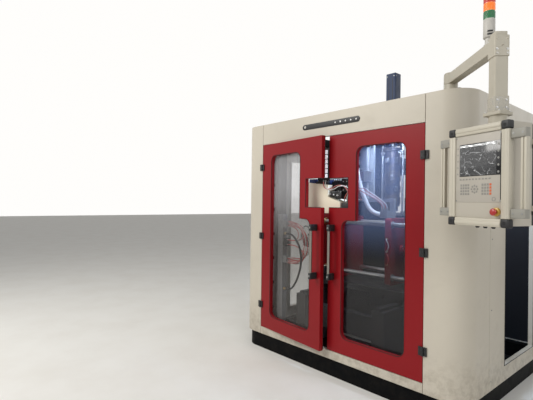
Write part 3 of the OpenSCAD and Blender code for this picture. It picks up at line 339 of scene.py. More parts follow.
# The second of these two paints has painted shade on its inner side.
for name, shaded_inside in (("guard_paint", False), ("shaded_inside_paint", True)):
    powder_coat(name, cream, 0.40, 0.08, dust=0.5, dust_height=0.55, shaded_inside=shaded_inside)
powder_coat("frame_black", tone(4, 5, 7), 0.55, 0.2, dust=0.02, dust_height=0.3, specular=0.08)
powder_coat("door_red", tone(134, 13, 21), 0.36, 0.18, coat=0.08, specular=0.2)
powder_coat("clamp_red", tone(150, 26, 30), 0.42, 0.14)
powder_coat("arm_paint", tone(184, 178, 163), 0.42, 0.14)
powder_coat("panel_alu", tone(196, 190, 175), 0.36, 0.06)
powder_coat("panel_grey", tone(186, 180, 168), 0.42, 0.10)
powder_coat("machine_grey", tone(40, 41, 45), 0.46, 0.14, dust=0.2, dust_height=0.9)
powder_coat("steel_grey", tone(150, 151, 152), 0.4, 0.10)
powder_coat("actuator_blue", tone(58, 70, 96), 0.46, 0.10, specular=0.2)
powder_coat("cover_cream", tone(238, 231, 210), 0.38, 0.06)
powder_coat("bracket_blue", tone(34, 48, 96), 0.38, 0.10)
powder_coat("grip_grey", tone(150, 148, 140), 0.46, 0.1)
# Both panes carry painted light: a dark painted shade low down, and a bluish or pale painted reflection
# higher up.
clear_sheet("clear_pane", tone(32, 32, 36), tone(126, 156, 218), 0.34, 0.24, 0.06)
clear_sheet("haze_and_reflection_pane", tone(88, 86, 84), tone(190, 190, 194), 0.24, 0.34, 0.09)
brushed_metal("steel_tube", (0.30, 0.28, 0.25, 1.0))
brushed_metal("hopper_steel", (0.62, 0.62, 0.62, 1.0), 0.34)
bright_steel("bright_steel", (0.60, 0.61, 0.62, 1.0), 0.34)
bright_steel("zinc_screws", (0.34, 0.34, 0.33, 1.0), 0.36)
bright_steel("brass", (0.70, 0.52, 0.26, 1.0), 0.3)
hot_steel("head_steel", tone(96, 97, 100))
moulded_plastic("black_plastic", tone(24, 24, 26), 0.46)
moulded_plastic("keypad", tone(180, 174, 164), 0.5, 0.08)
moulded_plastic("signal_grey", tone(190, 187, 180), 0.44, 0.08)
moulded_plastic("hose_white", tone(240, 241, 242), 0.42, 0.05)
moulded_plastic("rubber_black", tone(20, 20, 21), 0.72, 0.2, 500.0)
moulded_plastic("tube_black", tone(26, 26, 28), 0.4, 0.1)
moulded_plastic("key_grey", tone(142, 140, 134), 0.5, 0.05)
moulded_plastic("key_orange", tone(206, 98, 52), 0.5, 0.05)
moulded_plastic("key_white", tone(146, 145, 141), 0.44, 0.05)
gloss_plastic("screen_black", tone(18, 19, 22), 0.12)
gloss_plastic("stop_yellow", tone(206, 166, 70), 0.3)
gloss_plastic("stop_red", tone(170, 34, 34), 0.24)
gloss_plastic("tube_pink", tone(204, 120, 112), 0.28)
gloss_plastic("tube_white", tone(224, 222, 216), 0.3)
gloss_plastic("tube_red", tone(226, 84, 80), 0.28)
gloss_plastic("dot_white", tone(226, 226, 224), 0.3)
lamp_lens("signal_green", tone(28, 112, 66), 0.12)
lamp_lens("signal_amber", tone(226, 116, 34), 0.6)
lamp_lens("signal_red", tone(190, 40, 30), 0.25)
glow("led_cover", (0.78, 0.88, 1.0, 1.0), 3.0)
# The terminal blocks glow faintly as painted light, for the light that catches them; they are no lamp.
glow("terminal_painted_glow", (0.86, 0.88, 0.92, 1.0), 0.55)
wrapped_film("film_crumpled")


# Shapes

UP, DOWN, FRONT, REAR, RIGHT = (0, 0, 1), (0, 0, -1), (0, -1, 0), (0, 1, 0), (1, 0, 0)
SIDES = (-1, 1)


def turn_to(direction):
    """Rotation that takes +Z to a direction."""
    return Vector(UP).rotation_difference(Vector(direction)).to_matrix().to_4x4()


def circle(r, angles, middle=(0, 0)):
    """Pairs of coordinates on a circle, at angles in degrees."""
    return [(middle[0] + r * math.cos(math.radians(a)), middle[1] + r * math.sin(math.radians(a)))
            for a in angles]


def grid(xs, ys, zs):
    """Places at all combinations of the coordinates."""
    return [(x, y, z) for x in xs for y in ys for z in zs]


def mirrored(side, first, last):
    """Limits across the machine on its right, or mirrored on its left."""
    return sorted((side * first, side * last))


def eased(points, steps=8):
    """Points of a smooth line through the given ones."""
    points = [Vector(p) for p in points]
    line = [points[0]]
    for i in range(len(points) - 1):
        p0 = points[max(i - 1, 0)]
        p1, p2 = points[i], points[i + 1]
        p3 = points[min(i + 2, len(points) - 1)]
        for k in range(1, steps + 1):
            t = k / steps
            line.append(0.5 * (2 * p1 + (p2 - p0) * t + (2 * p0 - 5 * p1 + 4 * p2 - p3) * t * t
                               + (3 * p1 - p0 - 3 * p2 + p3) * t ** 3))
    return line


# Turned outlines that repeat, as (radius, height) points

def collar(bore, r, height, chamfer=2):
    return [(bore, 0), (r, 0), (r, height - chamfer), (r - chamfer, height), (bore, height),
            (bore, 0)]


def button(flat, r, height, edge):
    return [(0, height), (flat, height), (r, edge), (r, 0), (0, 0)]


class Part:
    """Shape under way, in millimetres: methods add to it, and make() ends it and starts the next."""

    def __init__(self):
        self.bm = bmesh.new()

    def rounded(self, edges, width, segments=2):
        bmesh.ops.bevel(self.bm, geom=list(edges), offset=width, segments=segments, affect="EDGES",
                        profile=0.5, material=-1)

    def cuboid(self, place, size, edge=0.0, segments=2):
        """Cuboid about a place, with rounded edges."""
        made = bmesh.ops.create_cube(self.bm, size=1.0,
                                     matrix=place @ Matrix.Diagonal(size).to_4x4())
        if edge:
            self.rounded({e for v in made["verts"] for e in v.link_edges}, edge, segments)

    def block(self, x, y, z, edge=1.5, segments=2):
        """Block between pairs of limits, with rounded edges."""
        low, high = (Vector((x[end], y[end], z[end])) for end in (0, 1))
        self.cuboid(Matrix.Translation((low + high) / 2), high - low, edge, segments)

    def rod(self, start, end, r, sides=24, edge=0.0):
        """Straight rod from one point to another."""
        start, end = Vector(start), Vector(end)
        place = Matrix.Translation((start + end) / 2) @ turn_to(end - start)
        made = bmesh.ops.create_cone(self.bm, cap_ends=True, segments=sides, radius1=r, radius2=r,
                                     depth=(end - start).length, matrix=place)
        if edge:
            self.rounded([e for e in {e for v in made["verts"] for e in v.link_edges}
                          if any(len(f.verts) > 4 for f in e.link_faces)], edge)

    def lathe(self, profile, places=((0, 0, 0),), axis=UP, sides=32):
        """Solid turned from (radius, height) points about an axis, at each of the places."""
        bm = self.bm
        for at in places:
            start = [bm.verts.new((r, 0, h)) for r, h in profile]
            edges = [bm.edges.new(pair) for pair in zip(start, start[1:])]
            spun = bmesh.ops.spin(bm, geom=start + edges, axis=UP, cent=(0, 0, 0), angle=2 * math.pi,
                                  steps=sides, use_merge=True)
            ring = {item for item in spun["geom_last"] if isinstance(item, bmesh.types.BMVert)}
            ring |= {v for v in start if v.is_valid}
            grown = set(ring)
            while ring:
                ring = {w for v in ring for e in v.link_edges for w in e.verts} - grown
                grown |= ring
            bmesh.ops.remove_doubles(bm, verts=list(grown), dist=0.001)
            grown = [v for v in grown if v.is_valid]
            bmesh.ops.recalc_face_normals(bm, faces=list({f for v in grown for f in v.link_faces}))
            bmesh.ops.transform(bm, matrix=Matrix.Translation(at) @ turn_to(axis), verts=grown)

    def bead(self, path, r, closed=False, sides=10):
        """Round bar along a path, of one radius or one for each point: its rings are bridged."""
        path = [Vector(p) for p in path]
        count = len(path)
        radii = r if isinstance(r, list) else [r] * count
        rings, faces, side = [], [], Vector(UP)
        for i, point in enumerate(path):
            before = path[i - 1] if closed or i else point
            after = path[(i + 1) % count] if closed or i < count - 1 else point
            along = (after - before).normalized()
            side = side - along * side.dot(along)
            if side.length < 0.05:
                side = along.orthogonal()
            side.normalize()
            place = Matrix((side, along.cross(side), along)).transposed().to_4x4()
            made = bmesh.ops.create_circle(self.bm, cap_ends=False, segments=sides, radius=radii[i],
                                           matrix=Matrix.Translation(point) @ place)
            rings.append(list({e for v in made["verts"] for e in v.link_edges}))
        for first, second in zip(rings, rings[1:] + (rings[:1] if closed else [])):
            faces += bmesh.ops.bridge_loops(self.bm, edges=first + second)["faces"]
        if not closed:
            for ring in (rings[0], rings[-1]):
                faces += bmesh.ops.contextual_create(self.bm, geom=ring)["faces"]
        bmesh.ops.recalc_face_normals(self.bm, faces=faces)

    def screws(self, places, axis, r=4.5, head=4.0):
        """Socket screws: a washer under a round head with a hollow."""
        self.lathe([(0, head * 0.45), (r * 0.5, head * 0.45), (r * 0.55, head), (r * 0.88, head),
                    (r, head * 0.8), (r, 0.8), (r * 1.45, 0.8), (r * 1.45, 0), (0, 0)], places, axis, 12)

    def bolts(self, places, axis, across=17.0, head=9.0):
        """Hexagon bolts on washers."""
        axis, washer = Vector(axis), 1.6
        for at in places:
            seat = Vector(at) + axis * washer
            self.rod(at, seat, across * 0.62, 20)
            self.rod(seat, Vector(at) + axis * head, across * 0.57, 6, 0.8)

    def fittings(self, places, axis, r=8.0, length=22.0):
        """Push-in fittings: a hexagon, a turned body and its release ring."""
        for at in places:
            self.rod(at, Vector(at) + Vector(axis) * length * 0.35, r * 1.12, 6, 0.5)
        self.lathe([(0, length * 0.3), (r * 0.9, length * 0.3), (r, length * 0.42), (r, length * 0.78),
                    (r * 0.8, length * 0.86), (r * 0.72, length * 0.86), (r * 0.72, length),
                    (0, length)], places, axis, 16)

    def placed(self, name, look, place):
        """Ends the shape as an object, moved to its place in metres."""
        self.bm.transform(place)
        mesh = bpy.data.meshes.new(name)
        self.bm.to_mesh(mesh)
        self.bm.free()
        self.bm = bmesh.new()
        mesh.materials.append(finish[look])
        return linked(name, mesh)

    def make(self, name, look, body="machine", stands_for=None, place=None, smooth=40, slot=None):
        """Object that rides on its body and may stand for a CAD node; edges sharper than smooth
        degrees stay sharp."""
        obj = self.placed(name, look, place or place_of.get(body, to_metres))
        obj.data.shade_smooth()
        obj.data.set_sharp_from_angle(angle=math.radians(smooth))
        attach(obj, body)
        if stands_for:
            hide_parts(stands_for)
        return obj


part = Part()


def softened(node, width=1.5, segments=2):
    """Copy of a CAD node with its sharp edges rounded, which stands in for the node."""
    part.bm.from_mesh(nodes[node].data)
    bmesh.ops.remove_doubles(part.bm, verts=part.bm.verts, dist=1e-5)
    bmesh.ops.dissolve_limit(part.bm, angle_limit=math.radians(0.4), verts=part.bm.verts,
                             edges=part.bm.edges, use_dissolve_boundaries=False, delimit={"NORMAL"})
    piece = part.make(node + "_skin", slot_of[node], body_of[node], node, Matrix.Identity(4), 35)
    bevel = piece.modifiers.new("edges", "BEVEL")
    bevel.width = width * mm
    bevel.segments = segments
    bevel.limit_method = "ANGLE"
    bevel.angle_limit = math.radians(35)
    bevel.use_clamp_overlap = False
    bevel.harden_normals = True


def dress_frame():
    """Every CAD node gets its finish; those with long sharp edges in view get rounded ones."""
    # The rear panels get the paint with painted shade on its inner side.
    own = {"left_window": "haze_and_reflection_pane", "rear_panels": "shaded_inside_paint"}
    for node, obj in nodes.items():
        obj.data.materials.clear()
        obj.data.materials.append(finish[own.get(node, slot_of[node])])
    for width, names in (
            (1.2, "header_panel sill_panel left_corner_panel right_corner_panel left_side_panel "
                  "right_side_panel"),
            (2.5, "right_door left_door"), (1.0, "blow_cover"),
            (2.0, "arm_base drop_tube left_platen right_platen clamp_end_plates")):
        for node in names.split():
            softened(node, width)


# Control panel and its arm

def panel_limits(node="panel_frame"):
    """Lowest and highest corners of a node of the panel, in the panel's own millimetres."""
    inverse = panel_frame.inverted()
    points = [inverse @ v.co for v in nodes[node].data.vertices]
    return [(min(p[i] for p in points), max(p[i] for p in points)) for i in range(3)]


def dress_panel():
    """Aluminium frame of the panel with its corner caps, and all that sits in it."""
    bar, cap_out = 46, 2
    x, y, z = panel_limits()
    x, z = ((low + cap_out, high - cap_out) for low, high in (x, z))
    face, back = y[0], y[0] + bar
    inner_x, inner_z = ((low + bar, high - bar) for low, high in (x, z))

    def corner_limits(limits):
        """Limits of the cap at either end of these."""
        return (limits[0] - cap_out, limits[0] + bar), (limits[1] - bar, limits[1] + cap_out)

    def strips(low, high):
        """Each bar's limits across its width, with those of the raised rib on it."""
        return (((low, low + bar), (low + 6, low + 30)), ((high - bar, high), (high - 30, high - 6)))

    for (edge, rib), (level, level_rib) in zip(strips(*x), strips(*z)):
        part.block(edge, (face + 4, back), inner_z, 5, 3)
        part.block(rib, (face, face + 20), inner_z, 7, 3)
        part.block(inner_x, (face + 4, back), level, 5, 3)
        part.block(inner_x, (face, face + 20), level_rib, 7, 3)
    part.make("panel_bars", "panel_alu", "panel", "panel_frame")
    for cap_x, cap_z in ((a, b) for a in corner_limits(x) for b in corner_limits(z)):
        part.block(cap_x, (face, back - 1), cap_z, 9, 4)
    part.make("panel_corner_caps", "black_plastic", "panel", "panel_frame")
    part.lathe([(0, 1.0), (4, 1.0), (5.5, 1.6), (8.5, 1.6), (9.5, 0), (0, 0)],
               grid((x[0] + 23, x[1] - 23), [face], (z[0] + 23, z[1] - 23)), FRONT, 20)
    part.make("panel_cap_plugs", "rubber_black", "panel")

    plate_y = face + bar - 35
    dress_keypad(inner_x, (z[0] + 132, z[1] - bar), plate_y)
    dress_stop(plate_y + 3)
    dress_grips(x[1], face + 36)
    dress_housing(z)


def dress_keypad(inner, plate_z, plate_y):
    """Keypad plate with its keys, the screen and the film left on it."""
    low, high = plate_z
    part.block(inner, (plate_y + 3, plate_y + 20), (low - 86, high), 0.8)
    part.make("keypad_backing", "panel_grey", "panel", "panel_fascia")
    part.block((inner[0] + 3, inner[1] - 3), (plate_y, plate_y + 3.5), (low + 4, high - 4), 1.2)
    part.make("keypad_plate", "keypad", "panel", "panel_fascia")
    part.screws(grid((-146, 146), [plate_y], (low + 12, high - 12)), FRONT, 3.2, 2.2)
    part.make("keypad_screws", "zinc_screws", "panel")
    part.block((inner[1] - 8, inner[1] - 3), (plate_y - 0.4, plate_y + 1), (low + 18, high - 18), 0.3)
    part.make("keypad_slot", "rubber_black", "panel")

    key, pitch = 13, 17
    grey, orange, white = Part(), Part(), Part()

    def add_key(keys, x, z, width, height):
        keys.block((x, x + width), (plate_y - 1.0, plate_y + 0.5), (z, z + height), 0.7)

    def add_round(keys, profile, x, z, sides=20, proud=0):
        keys.lathe(profile, [(x, plate_y - proud, z)], FRONT, sides)

    for block_x in (-92, 55):
        for col in range(4):
            for row in range(4):
                add_key(orange if block_x > 0 and col == 3 else grey, block_x + col * pitch - 26,
                        low + 46 + row * pitch, key, key)
    for col in range(10):
        add_key(grey, -124 + col * 22, low + 133, 14, 9)
    for x, z in circle(20, range(0, 360, 45), (-18, low + 80)):
        add_round(grey, button(5.4, 6.2, 1.2, 0.6), x, z, 18)
    add_round(grey, button(7.5, 8.2, 1.2, 0.6), -18, low + 80)
    for k in range(5):
        add_round(grey, button(4.0, 4.8, 1.0, 0.4), -138, low + 172 + k * 38, 16)
        add_round(white, button(5.6, 6.4, 1.6, 0.8), 136, low + 172 + k * 38, 20, 2)
    add_round(white, [(9.0, 0.4), (9.0, 1.6), (11.5, 1.6), (11.5, 0), (9.0, 0)], 108, low + 22, 24)
    for name, keys in (("grey", grey), ("orange", orange), ("white", white)):
        keys.make("keys_" + name, "key_" + name, "panel")

    screen_x, screen_z = (-124, 148), (low + 155, low + 345)
    part.block(screen_x, (plate_y - 2, plate_y + 0.5), screen_z, 1.0)
    part.make("screen_glass", "screen_black", "panel", "panel_screen")
    bmesh.ops.create_grid(part.bm, x_segments=80, y_segments=56, size=0.5)
    for v in part.bm.verts:
        u, w = v.co.x, v.co.y
        fold = noise.noise(Vector((u * 9 + w * 5, w * 14, 3.0)))
        ridge = 1 - abs(noise.noise(Vector((u * 6 + 8, w * 16 + u * 7, 1.0)))) * 4
        rise = 0.5 + max(0.0, fold) * 2.2 + max(0.0, ridge) * 2.6
        v.co = Vector((screen_x[0] + 4 + (u + 0.5) * 244, plate_y - 2.2 - rise,
                       screen_z[0] + 5 + (w + 0.5) * 180))
    part.make("screen_film", "film_crumpled", "panel", smooth=80)
    bmesh.ops.create_grid(part.bm, x_segments=60, y_segments=4, size=0.5)
    for v in part.bm.verts:
        u, w = v.co.x, v.co.y
        wave = noise.noise(Vector((u * 11, w * 2, 5.0)))
        v.co = Vector((screen_x[0] + 6 + (u + 0.5) * 240, plate_y - 4.5 - wave * 3,
                       screen_z[1] - 13 + w * 12 + wave * 3))
    part.make("film_fold", "bright_steel", "panel", smooth=80)


def dress_stop(plate_y):
    """Mushroom stop button in its collar."""
    at = [(125, plate_y, panel_limits()[2][0] + 85)]
    part.lathe([(11.1, 0), (24, 0), (24, 9), (22.5, 12.5), (19, 14), (12.5, 14), (11.1, 12.8), (11.1, 0)],
               at, FRONT, 40)
    part.make("stop_ring", "stop_yellow", "panel", "stop_collar")
    part.lathe([(0, 6), (11, 6), (11, 20), (14, 21), (19.4, 28), (20, 30.5), (19.2, 33), (16, 36.4),
                (9, 37.8), (0, 38)], at, FRONT, 40)
    part.make("stop_mushroom", "stop_red", "stop", "stop_button")


def dress_grips(edge_x, y):
    """Flat grip bars with their slot, on grey end blocks."""
    (_, reach), _, (low, high) = panel_limits("panel_grips")
    block_h = 50
    length = (low + block_h - 2, high - block_h + 2)
    outer = reach - 32
    bars, blocks = Part(), Part()
    for side in SIDES:
        for limits in ((outer, outer + 13), (outer + 19, reach)):
            bars.block(mirrored(side, *limits), (y - 13, y + 13), length, 3, 3)
        bars.block(mirrored(side, outer + 8, outer + 24), (y - 8, y + 10), length, 0.5)
        for z in (low, high - block_h):
            blocks.block(mirrored(side, edge_x, reach), (y - 20, y + 20), (z, z + block_h), 5, 3)
    bars.make("grip_bars", "panel_alu", "panel", "panel_grips")
    blocks.make("grip_end_blocks", "grip_grey", "panel", "panel_grips")
    part.screws([(side * (edge_x + off), y - 20, z + block_h / 2) for side in SIDES
                 for off in (16, 68) for z in (low, high - block_h)], FRONT, 4.0, 3.0)
    part.make("grip_screws", "zinc_screws", "panel")


def dress_housing(z):
    """Rounded housing and rear cover, louvres and the latch of the rear cover, and cable glands under the
    housing.
    """
    softened("panel_housing", 3.0)
    softened("panel_rear_cover", 3.0)
    rear = panel_limits("panel_housing")[1][1]
    cover_y = panel_limits("panel_rear_cover")[1][1] - 8
    for k in range(7):
        level = z[0] + 90 + k * 14
        part.block((-90, 90), (cover_y - 1, cover_y + 4), (level, level + 5), 2.0)
    part.make("rear_louvres", "black_plastic", "rear_cover")
    part.lathe([(0, 0), (12.5, 0), (12.5, 8.5), (10, 10), (4, 10), (4, 7.5), (0, 7.5)],
               [(-160, cover_y, (z[0] + z[1]) / 2)], REAR, 28)
    part.make("rear_latch", "bright_steel", "rear_cover")
    part.lathe([(0, 26), (8, 26), (10, 24), (13, 16), (13, 8), (15, 8), (15, 0), (0, 0)],
               grid((-110, -55, 0), [rear - 60], [z[0] + 8]), DOWN, 12)
    part.make("housing_glands", "black_plastic", "panel")


def height_of(node, end):
    """Height in millimetres of a node's underside, 0, or top, 1."""
    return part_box(node)[end].z / mm


def dress_arm():
    """Cast arm with its joint caps, screws and pinch clamps."""
    for node, width in (("support_arm", 4.0), ("arm_head", 1.8), ("panel_coupling", 4.0)):
        softened(node, width, 4)
    low, high = height_of("support_arm", 0), height_of("support_arm", 1)
    head, tube_z = height_of("arm_head", 0), height_of("drop_tube", 0) + 60
    tube_x, half = 700, 45
    part.lathe([(0, 0), (30, 0), (42, -1), (46, 0), (48, 2), (44, 9), (24, 14), (0, 15)],
               [(0, 0, high)], UP, 40)
    part.block((650, 760), (-3, 3), (head + 60, head + 61), 0.3)
    part.make("arm_post_cap", "arm_paint", "arm")
    part.screws(grid([744], (-30, 30), (head + 16, head + 40)), RIGHT, 5.0, 4.5)
    part.screws(grid([744], (-26, 26), (tube_z + 22, tube_z + 66)), RIGHT, 4.5, 4.0)
    part.screws([(74, -25, (low + high) / 2)], FRONT, 5.0, 4.0)
    part.make("arm_screws", "zinc_screws", "arm")
    part.block((tube_x - half, tube_x + half), (-half, half), (tube_z + 3, tube_z + 88), 7, 3)
    part.make("collar_film", "film_crumpled", "arm", slot="arm_paint")
    part.bolts(grid((-125, 125), (-140, 140), [height_of("arm_base", 0) + 12]), UP)
    part.make("arm_base_bolts", "zinc_screws", place=group_frame(pivot_of["arm_swivel"], 0))
    part.screws(grid((-half, half), (-half, half), [height_of("panel_coupling", 1)]), UP, 6, 5)
    part.make("coupling_screws", "zinc_screws", "panel")


def dress_lamp():
    """Signal lamp: a turned base, three ribbed lenses and a cap."""
    least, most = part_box("lamp_green")
    middle, r = (least + most) / 2, (most.x - least.x) / 2 / mm
    place = Matrix.Translation((middle.x, middle.y, 0)) @ to_metres

    def finished(part, name, look, node=None):
        part.make(name, look, "arm", node, place)

    low, high = height_of("lamp_base", 0), height_of("lamp_base", 1)
    part.lathe([(0, low), (r - 4, low), (r - 4, low + 5), (r - 8, low + 7), (r - 10, low + 12),
                (r - 10, low + 44), (r - 2, low + 46), (r, low + 49), (r, high - 4), (r - 1.5, high - 2),
                (r - 1.5, high), (0, high)], sides=48)
    finished(part, "lamp_foot", "signal_grey", "lamp_base")
    for lift in (58, 76):
        for x, y in circle(r, range(-80, -39, 10)):
            part.block((x - 3, x + 3), (y - 3, y + 3), (low + lift, low + lift + 9), 0.4)
    finished(part, "lamp_marks", "black_plastic")
    cap, ribs = 12, 9
    for colour in ("green", "amber", "red"):
        z0, z1 = height_of("lamp_" + colour, 0), height_of("lamp_" + colour, 1)
        z1 -= cap if colour == "red" else 0
        step = (z1 - z0 - 6) / ribs
        profile = [(0, z0), (r - 1.5, z0), (r - 1.5, z0 + 3)]
        for k in range(ribs):
            level = z0 + 3 + k * step
            profile += [(r - 0.2, level + step * 0.25), (r - 0.2, level + step * 0.6),
                        (r - 1.4, level + step)]
        part.lathe(profile + [(r - 1.5, z1), (0, z1)], sides=48)
        finished(part, "lamp_" + colour + "_lens", "signal_" + colour, "lamp_" + colour)
    top = height_of("lamp_red", 1)
    part.lathe([(0, top), (r - 8, top), (r - 3, top - 2.5), (r - 1, top - 7), (r - 1, top - cap),
                (0, top - cap)], sides=48)
    finished(part, "lamp_cap", "signal_grey", "lamp_red")


# Doors

front, half_door, door_t, hinge_heights = -950, 905, 40, (470, 1190, 1908)
name_of = {-1: "left", 1: "right"}


def window_path(grow):
    """Outline of the right door's stepped window, as (x, z) points that run round it once."""
    left_up, left_low, right = 295 - grow, 150 - grow, 752 + grow
    low, step, high = 370 - grow, 1395 + grow, 2022 + grow
    r, steps = 65 + grow, 7

    def corner(x, z, first):
        return circle(r, [first + 90 * k / steps for k in range(steps + 1)], (x, z))

    return (corner(right - r, low + r, -90) + corner(right - r, high - r, 0)
            + corner(left_up + r, high - r, 90) + [(left_up, step)]
            + corner(left_low + r, step - r, 90) + corner(left_low + r, low + r, 180))


def dress_door(side):
    """Gaskets, pane clips, handle, hinge screws and seals of one door; side is -1 for the left one."""
    label, back = name_of[side], front + door_t
    body = label + "_door_leaf"

    def finish_piece(name, look, node=None, smooth=40):
        part.make(label + name, look, body, node, smooth=smooth)

    part.bead([(side * x, front - 0.5, z) for x, z in window_path(0.5)], 2.4, closed=True, sides=8)
    finish_piece("_window_gasket", "rubber_black", smooth=70)
    part.bead([(side * x, front + 9, z) for x, z in window_path(-2.4)], 2.4, closed=True, sides=6)
    finish_piece("_window_rim", "door_red", smooth=70)
    clips = [(760, z) for z in range(470, 2000, 250)] + [(142, z) for z in range(520, 1300, 260)]
    clips += [(287, z) for z in (1860, 1960)] + [(x, 362) for x in range(260, 700, 140)]
    clips += [(x, 2030) for x in range(380, 700, 140)]
    for x, z in clips:
        part.block(mirrored(side, x - 16, x + 16), (back + 5, back + 9), (z - 16, z + 16), 2)
    part.lathe(button(4.5, 6, 3, 1.5), [(side * x, back + 9, z) for x, z in clips], REAR, 12)
    finish_piece("_pane_clips", "black_plastic")

    handle, bar_x, low, high = label + "_handle", side * 60, 897, 1325
    for z in (low, high):
        part.block(mirrored(side, 45, 75), (front - 80, front), (z - 29, z + 29), 5, 3)
    finish_piece("_handle_blocks", "black_plastic", handle)
    part.rod((bar_x, front - 65, low + 27), (bar_x, front - 65, high - 27), 13, 32)
    finish_piece("_handle_tube", "steel_tube", handle)
    part.lathe([(0, 1.2), (4, 1.2), (5, 3), (7.6, 3), (8.4, 2.2), (8.4, 0), (0, 0)],
               grid([bar_x], [front - 80], (low, high)), FRONT, 20)
    finish_piece("_handle_caps", "zinc_screws")

    softened(label + "_hinge_leaves", 1.4)
    hinge_screws(label + "_leaf_screws", side * (half_door - 22), body)

    for z in ((240, 1498), (1772, 2140)):
        part.bead([(side * 10, back + 3.5, end) for end in z], 5.5)
        part.block(mirrored(side, 4, 24), (back - 0.5, back + 1.5), z, 0.5)
    finish_piece("_door_seal", "rubber_black")
    cut_x, cut_low, cut_high = 213, 1504, 1765
    for corners in (((cut_x, cut_low), (cut_x, cut_high), (6, cut_high)),
                    ((cut_x, cut_low), (6, cut_low))):
        part.bead([(side * x, front - 0.3, z) for x, z in corners], 2.6, sides=8)
    finish_piece("_cutout_trim", "rubber_black")


def hinge_screws(name, x, body="machine"):
    part.screws([(x, front - 10, z + dz) for z in hinge_heights for dz in (-20, 20)], FRONT, 3.6, 3.0)
    part.make(name, "black_plastic", body)


# Enclosure

def dress_enclosure():
    """Plate with its dots, panel screws, edge trims, the frame's hinge screws and the light bars."""
    plate_z, plate_y, wall_x, rear_y = 2257, front - 4, 1215, 950
    part.block((-328, 328), (plate_y, front), (plate_z - 25, plate_z + 25), 0)
    part.rounded([e for e in part.bm.edges if abs(e.verts[0].co.y - e.verts[1].co.y) > 1], 24.9, 12)
    part.rounded([e for e in part.bm.edges if all(v.co.y < plate_y + 0.1 for v in e.verts)], 1.2)
    part.make("header_plate", "black_plastic", stands_for="name_plate")
    part.lathe(button(5.4, 7, 1.8, 1.0), grid(range(67, 292, 56), [plate_y], [plate_z + 1]), FRONT, 20)
    part.make("plate_dots", "dot_white", stands_for="name_plate")
    part.lathe([(0, 1.2), (8, 1.2), (9.5, 2), (11, 2), (12, 1), (12, 0), (0, 0)],
               [(-295, plate_y, plate_z + 1)], FRONT, 28)
    part.make("plate_boss", "signal_grey", stands_for="name_plate")

    softened("frame_hinge_leaves", 1.4)
    for side in SIDES:
        hinge_screws(name_of[side] + "_frame_screws", side * (half_door + 22))
    for side in SIDES:
        part.screws(grid([side * wall_x], (-515, 915), (230, 760, 1290, 1820, 2290)),
                    (side, 0, 0), 4.2, 3.4)
    for columns, levels in (((-1120, -530, 530, 1120), (230, 900, 1600, 2290)),
                            ((-440, 440), (230, 800, 1340))):
        part.screws(grid(columns, [rear_y], levels), REAR, 4.2, 3.4)
    part.make("panel_screws", "zinc_screws")
    for side in SIDES:
        part.bead([(side * (wall_x + 0.5), y, z)
                   for y, z in ((-245, 280), (455, 280), (455, 2040), (-245, 2040))],
                  3.0, closed=True, sides=8)
    part.make("opening_edge_trim", "rubber_black")
    for name, look, half, y, z, edge in (
            ("light_bar_housings", "panel_alu", 480, (-700, -660), (2252, 2280), 3),
            ("light_bar_covers", "led_cover", 465, (-695, -665), (2247, 2253), 2)):
        for x in (-560, 560):
            part.block((x - half, x + half), y, z, edge)
        part.make(name, look)


def dress_gap():
    """Terminal strip on the cover that shows through the gap between the doors."""
    part.block((-205, -62), (-868, -862), (1738, 2052), 1)
    part.block((-205, -62), (-890, -862), (1722, 1745), 1)
    part.make("terminal_plate", "black_plastic")
    levels = range(1778, 1999, 44)
    for z in levels:
        part.block((-158, -84), (-880, -867), (z, z + 36), 2)
        part.block((-150, -92), (-884, -879), (z + 6, z + 30), 1.5)
    # The blocks' finish glows faintly as painted light; they are no lamp.
    part.make("terminal_blocks", "terminal_painted_glow")
    part.screws(grid((-139, -103), [-884], [z + 18 for z in levels]), FRONT, 2.6, 1.6)
    part.screws(grid((-196, -72), [-868], (1752, 2042)), FRONT, 3.4, 3)
    part.make("terminal_screws", "zinc_screws")
    part.block((-300, -212), (-882, -760), (1728, 1770), 3)
    part.block((-212, -62), (-858, -760), (1716, 1758), 3)
    part.make("cover_bracket", "bracket_blue")
    dress_valves()


def dress_valves():
    """Valve island beside the step of the cover: black valves with bright fittings."""
    face = front + 150
    for x, y, z, edge in (((-84, 205), (0, 10), (1606, 1768), 1.5), ((84, 205), (0, 10), (1546, 1608), 1.5),
                          ((-56, 12), (-72, 0), (1603, 1650), 3), ((14, 78), (-72, 0), (1582, 1642), 3),
                          ((158, 200), (-26, 0), (1600, 1752), 3)):
        part.block(x, (face + y[0], face + y[1]), z, edge)
    for x in range(-78, 19, 24):
        part.block((x, x + 20), (face - 26, face), (1664, 1742), 2.5)
        part.block((x + 3, x + 17), (face - 32, face - 26), (1684, 1704), 1.5)
    for z in range(1648, 1725, 38):
        part.block((52, 142), (face - 22, face), (z, z + 32), 3)
    part.make("valve_island", "black_plastic")
    part.fittings(grid(range(-68, 29, 24), [face - 14], [1656]), DOWN, 6, 18)
    part.fittings(grid(range(-68, 29, 24), [face - 14], [1750]), UP, 6, 18)
    part.fittings(grid([132], [face - 22], range(1664, 1741, 38)), FRONT, 7, 16)
    part.screws(grid((62, 100), [face - 22], range(1664, 1741, 38)), FRONT, 3, 2)
    part.fittings(grid([178], [face - 26], range(1622, 1731, 54)), FRONT, 8, 18)
    part.fittings([(-42 + k * 42, face - 72, 1626 - k * 6) for k in range(3)], FRONT, 7, 14)
    part.make("valve_fittings", "bright_steel")


# Tubes and hoses, all drawn as loose runs between two fittings

def declare_cord(piece, line, path):
    """Path in metres and length of a line in millimetres; both are worked out and not used."""
    path = [tuple(p * mm) for p in path]
    length = sum((b - a).length for a, b in zip(line, line[1:])) * mm


def air_tube(name, points, r, look, body="machine"):
    """Tube through points."""
    line = eased(points, 10)
    part.bead(line, r)
    declare_cord(part.make(name, look, body, smooth=70), line, line)


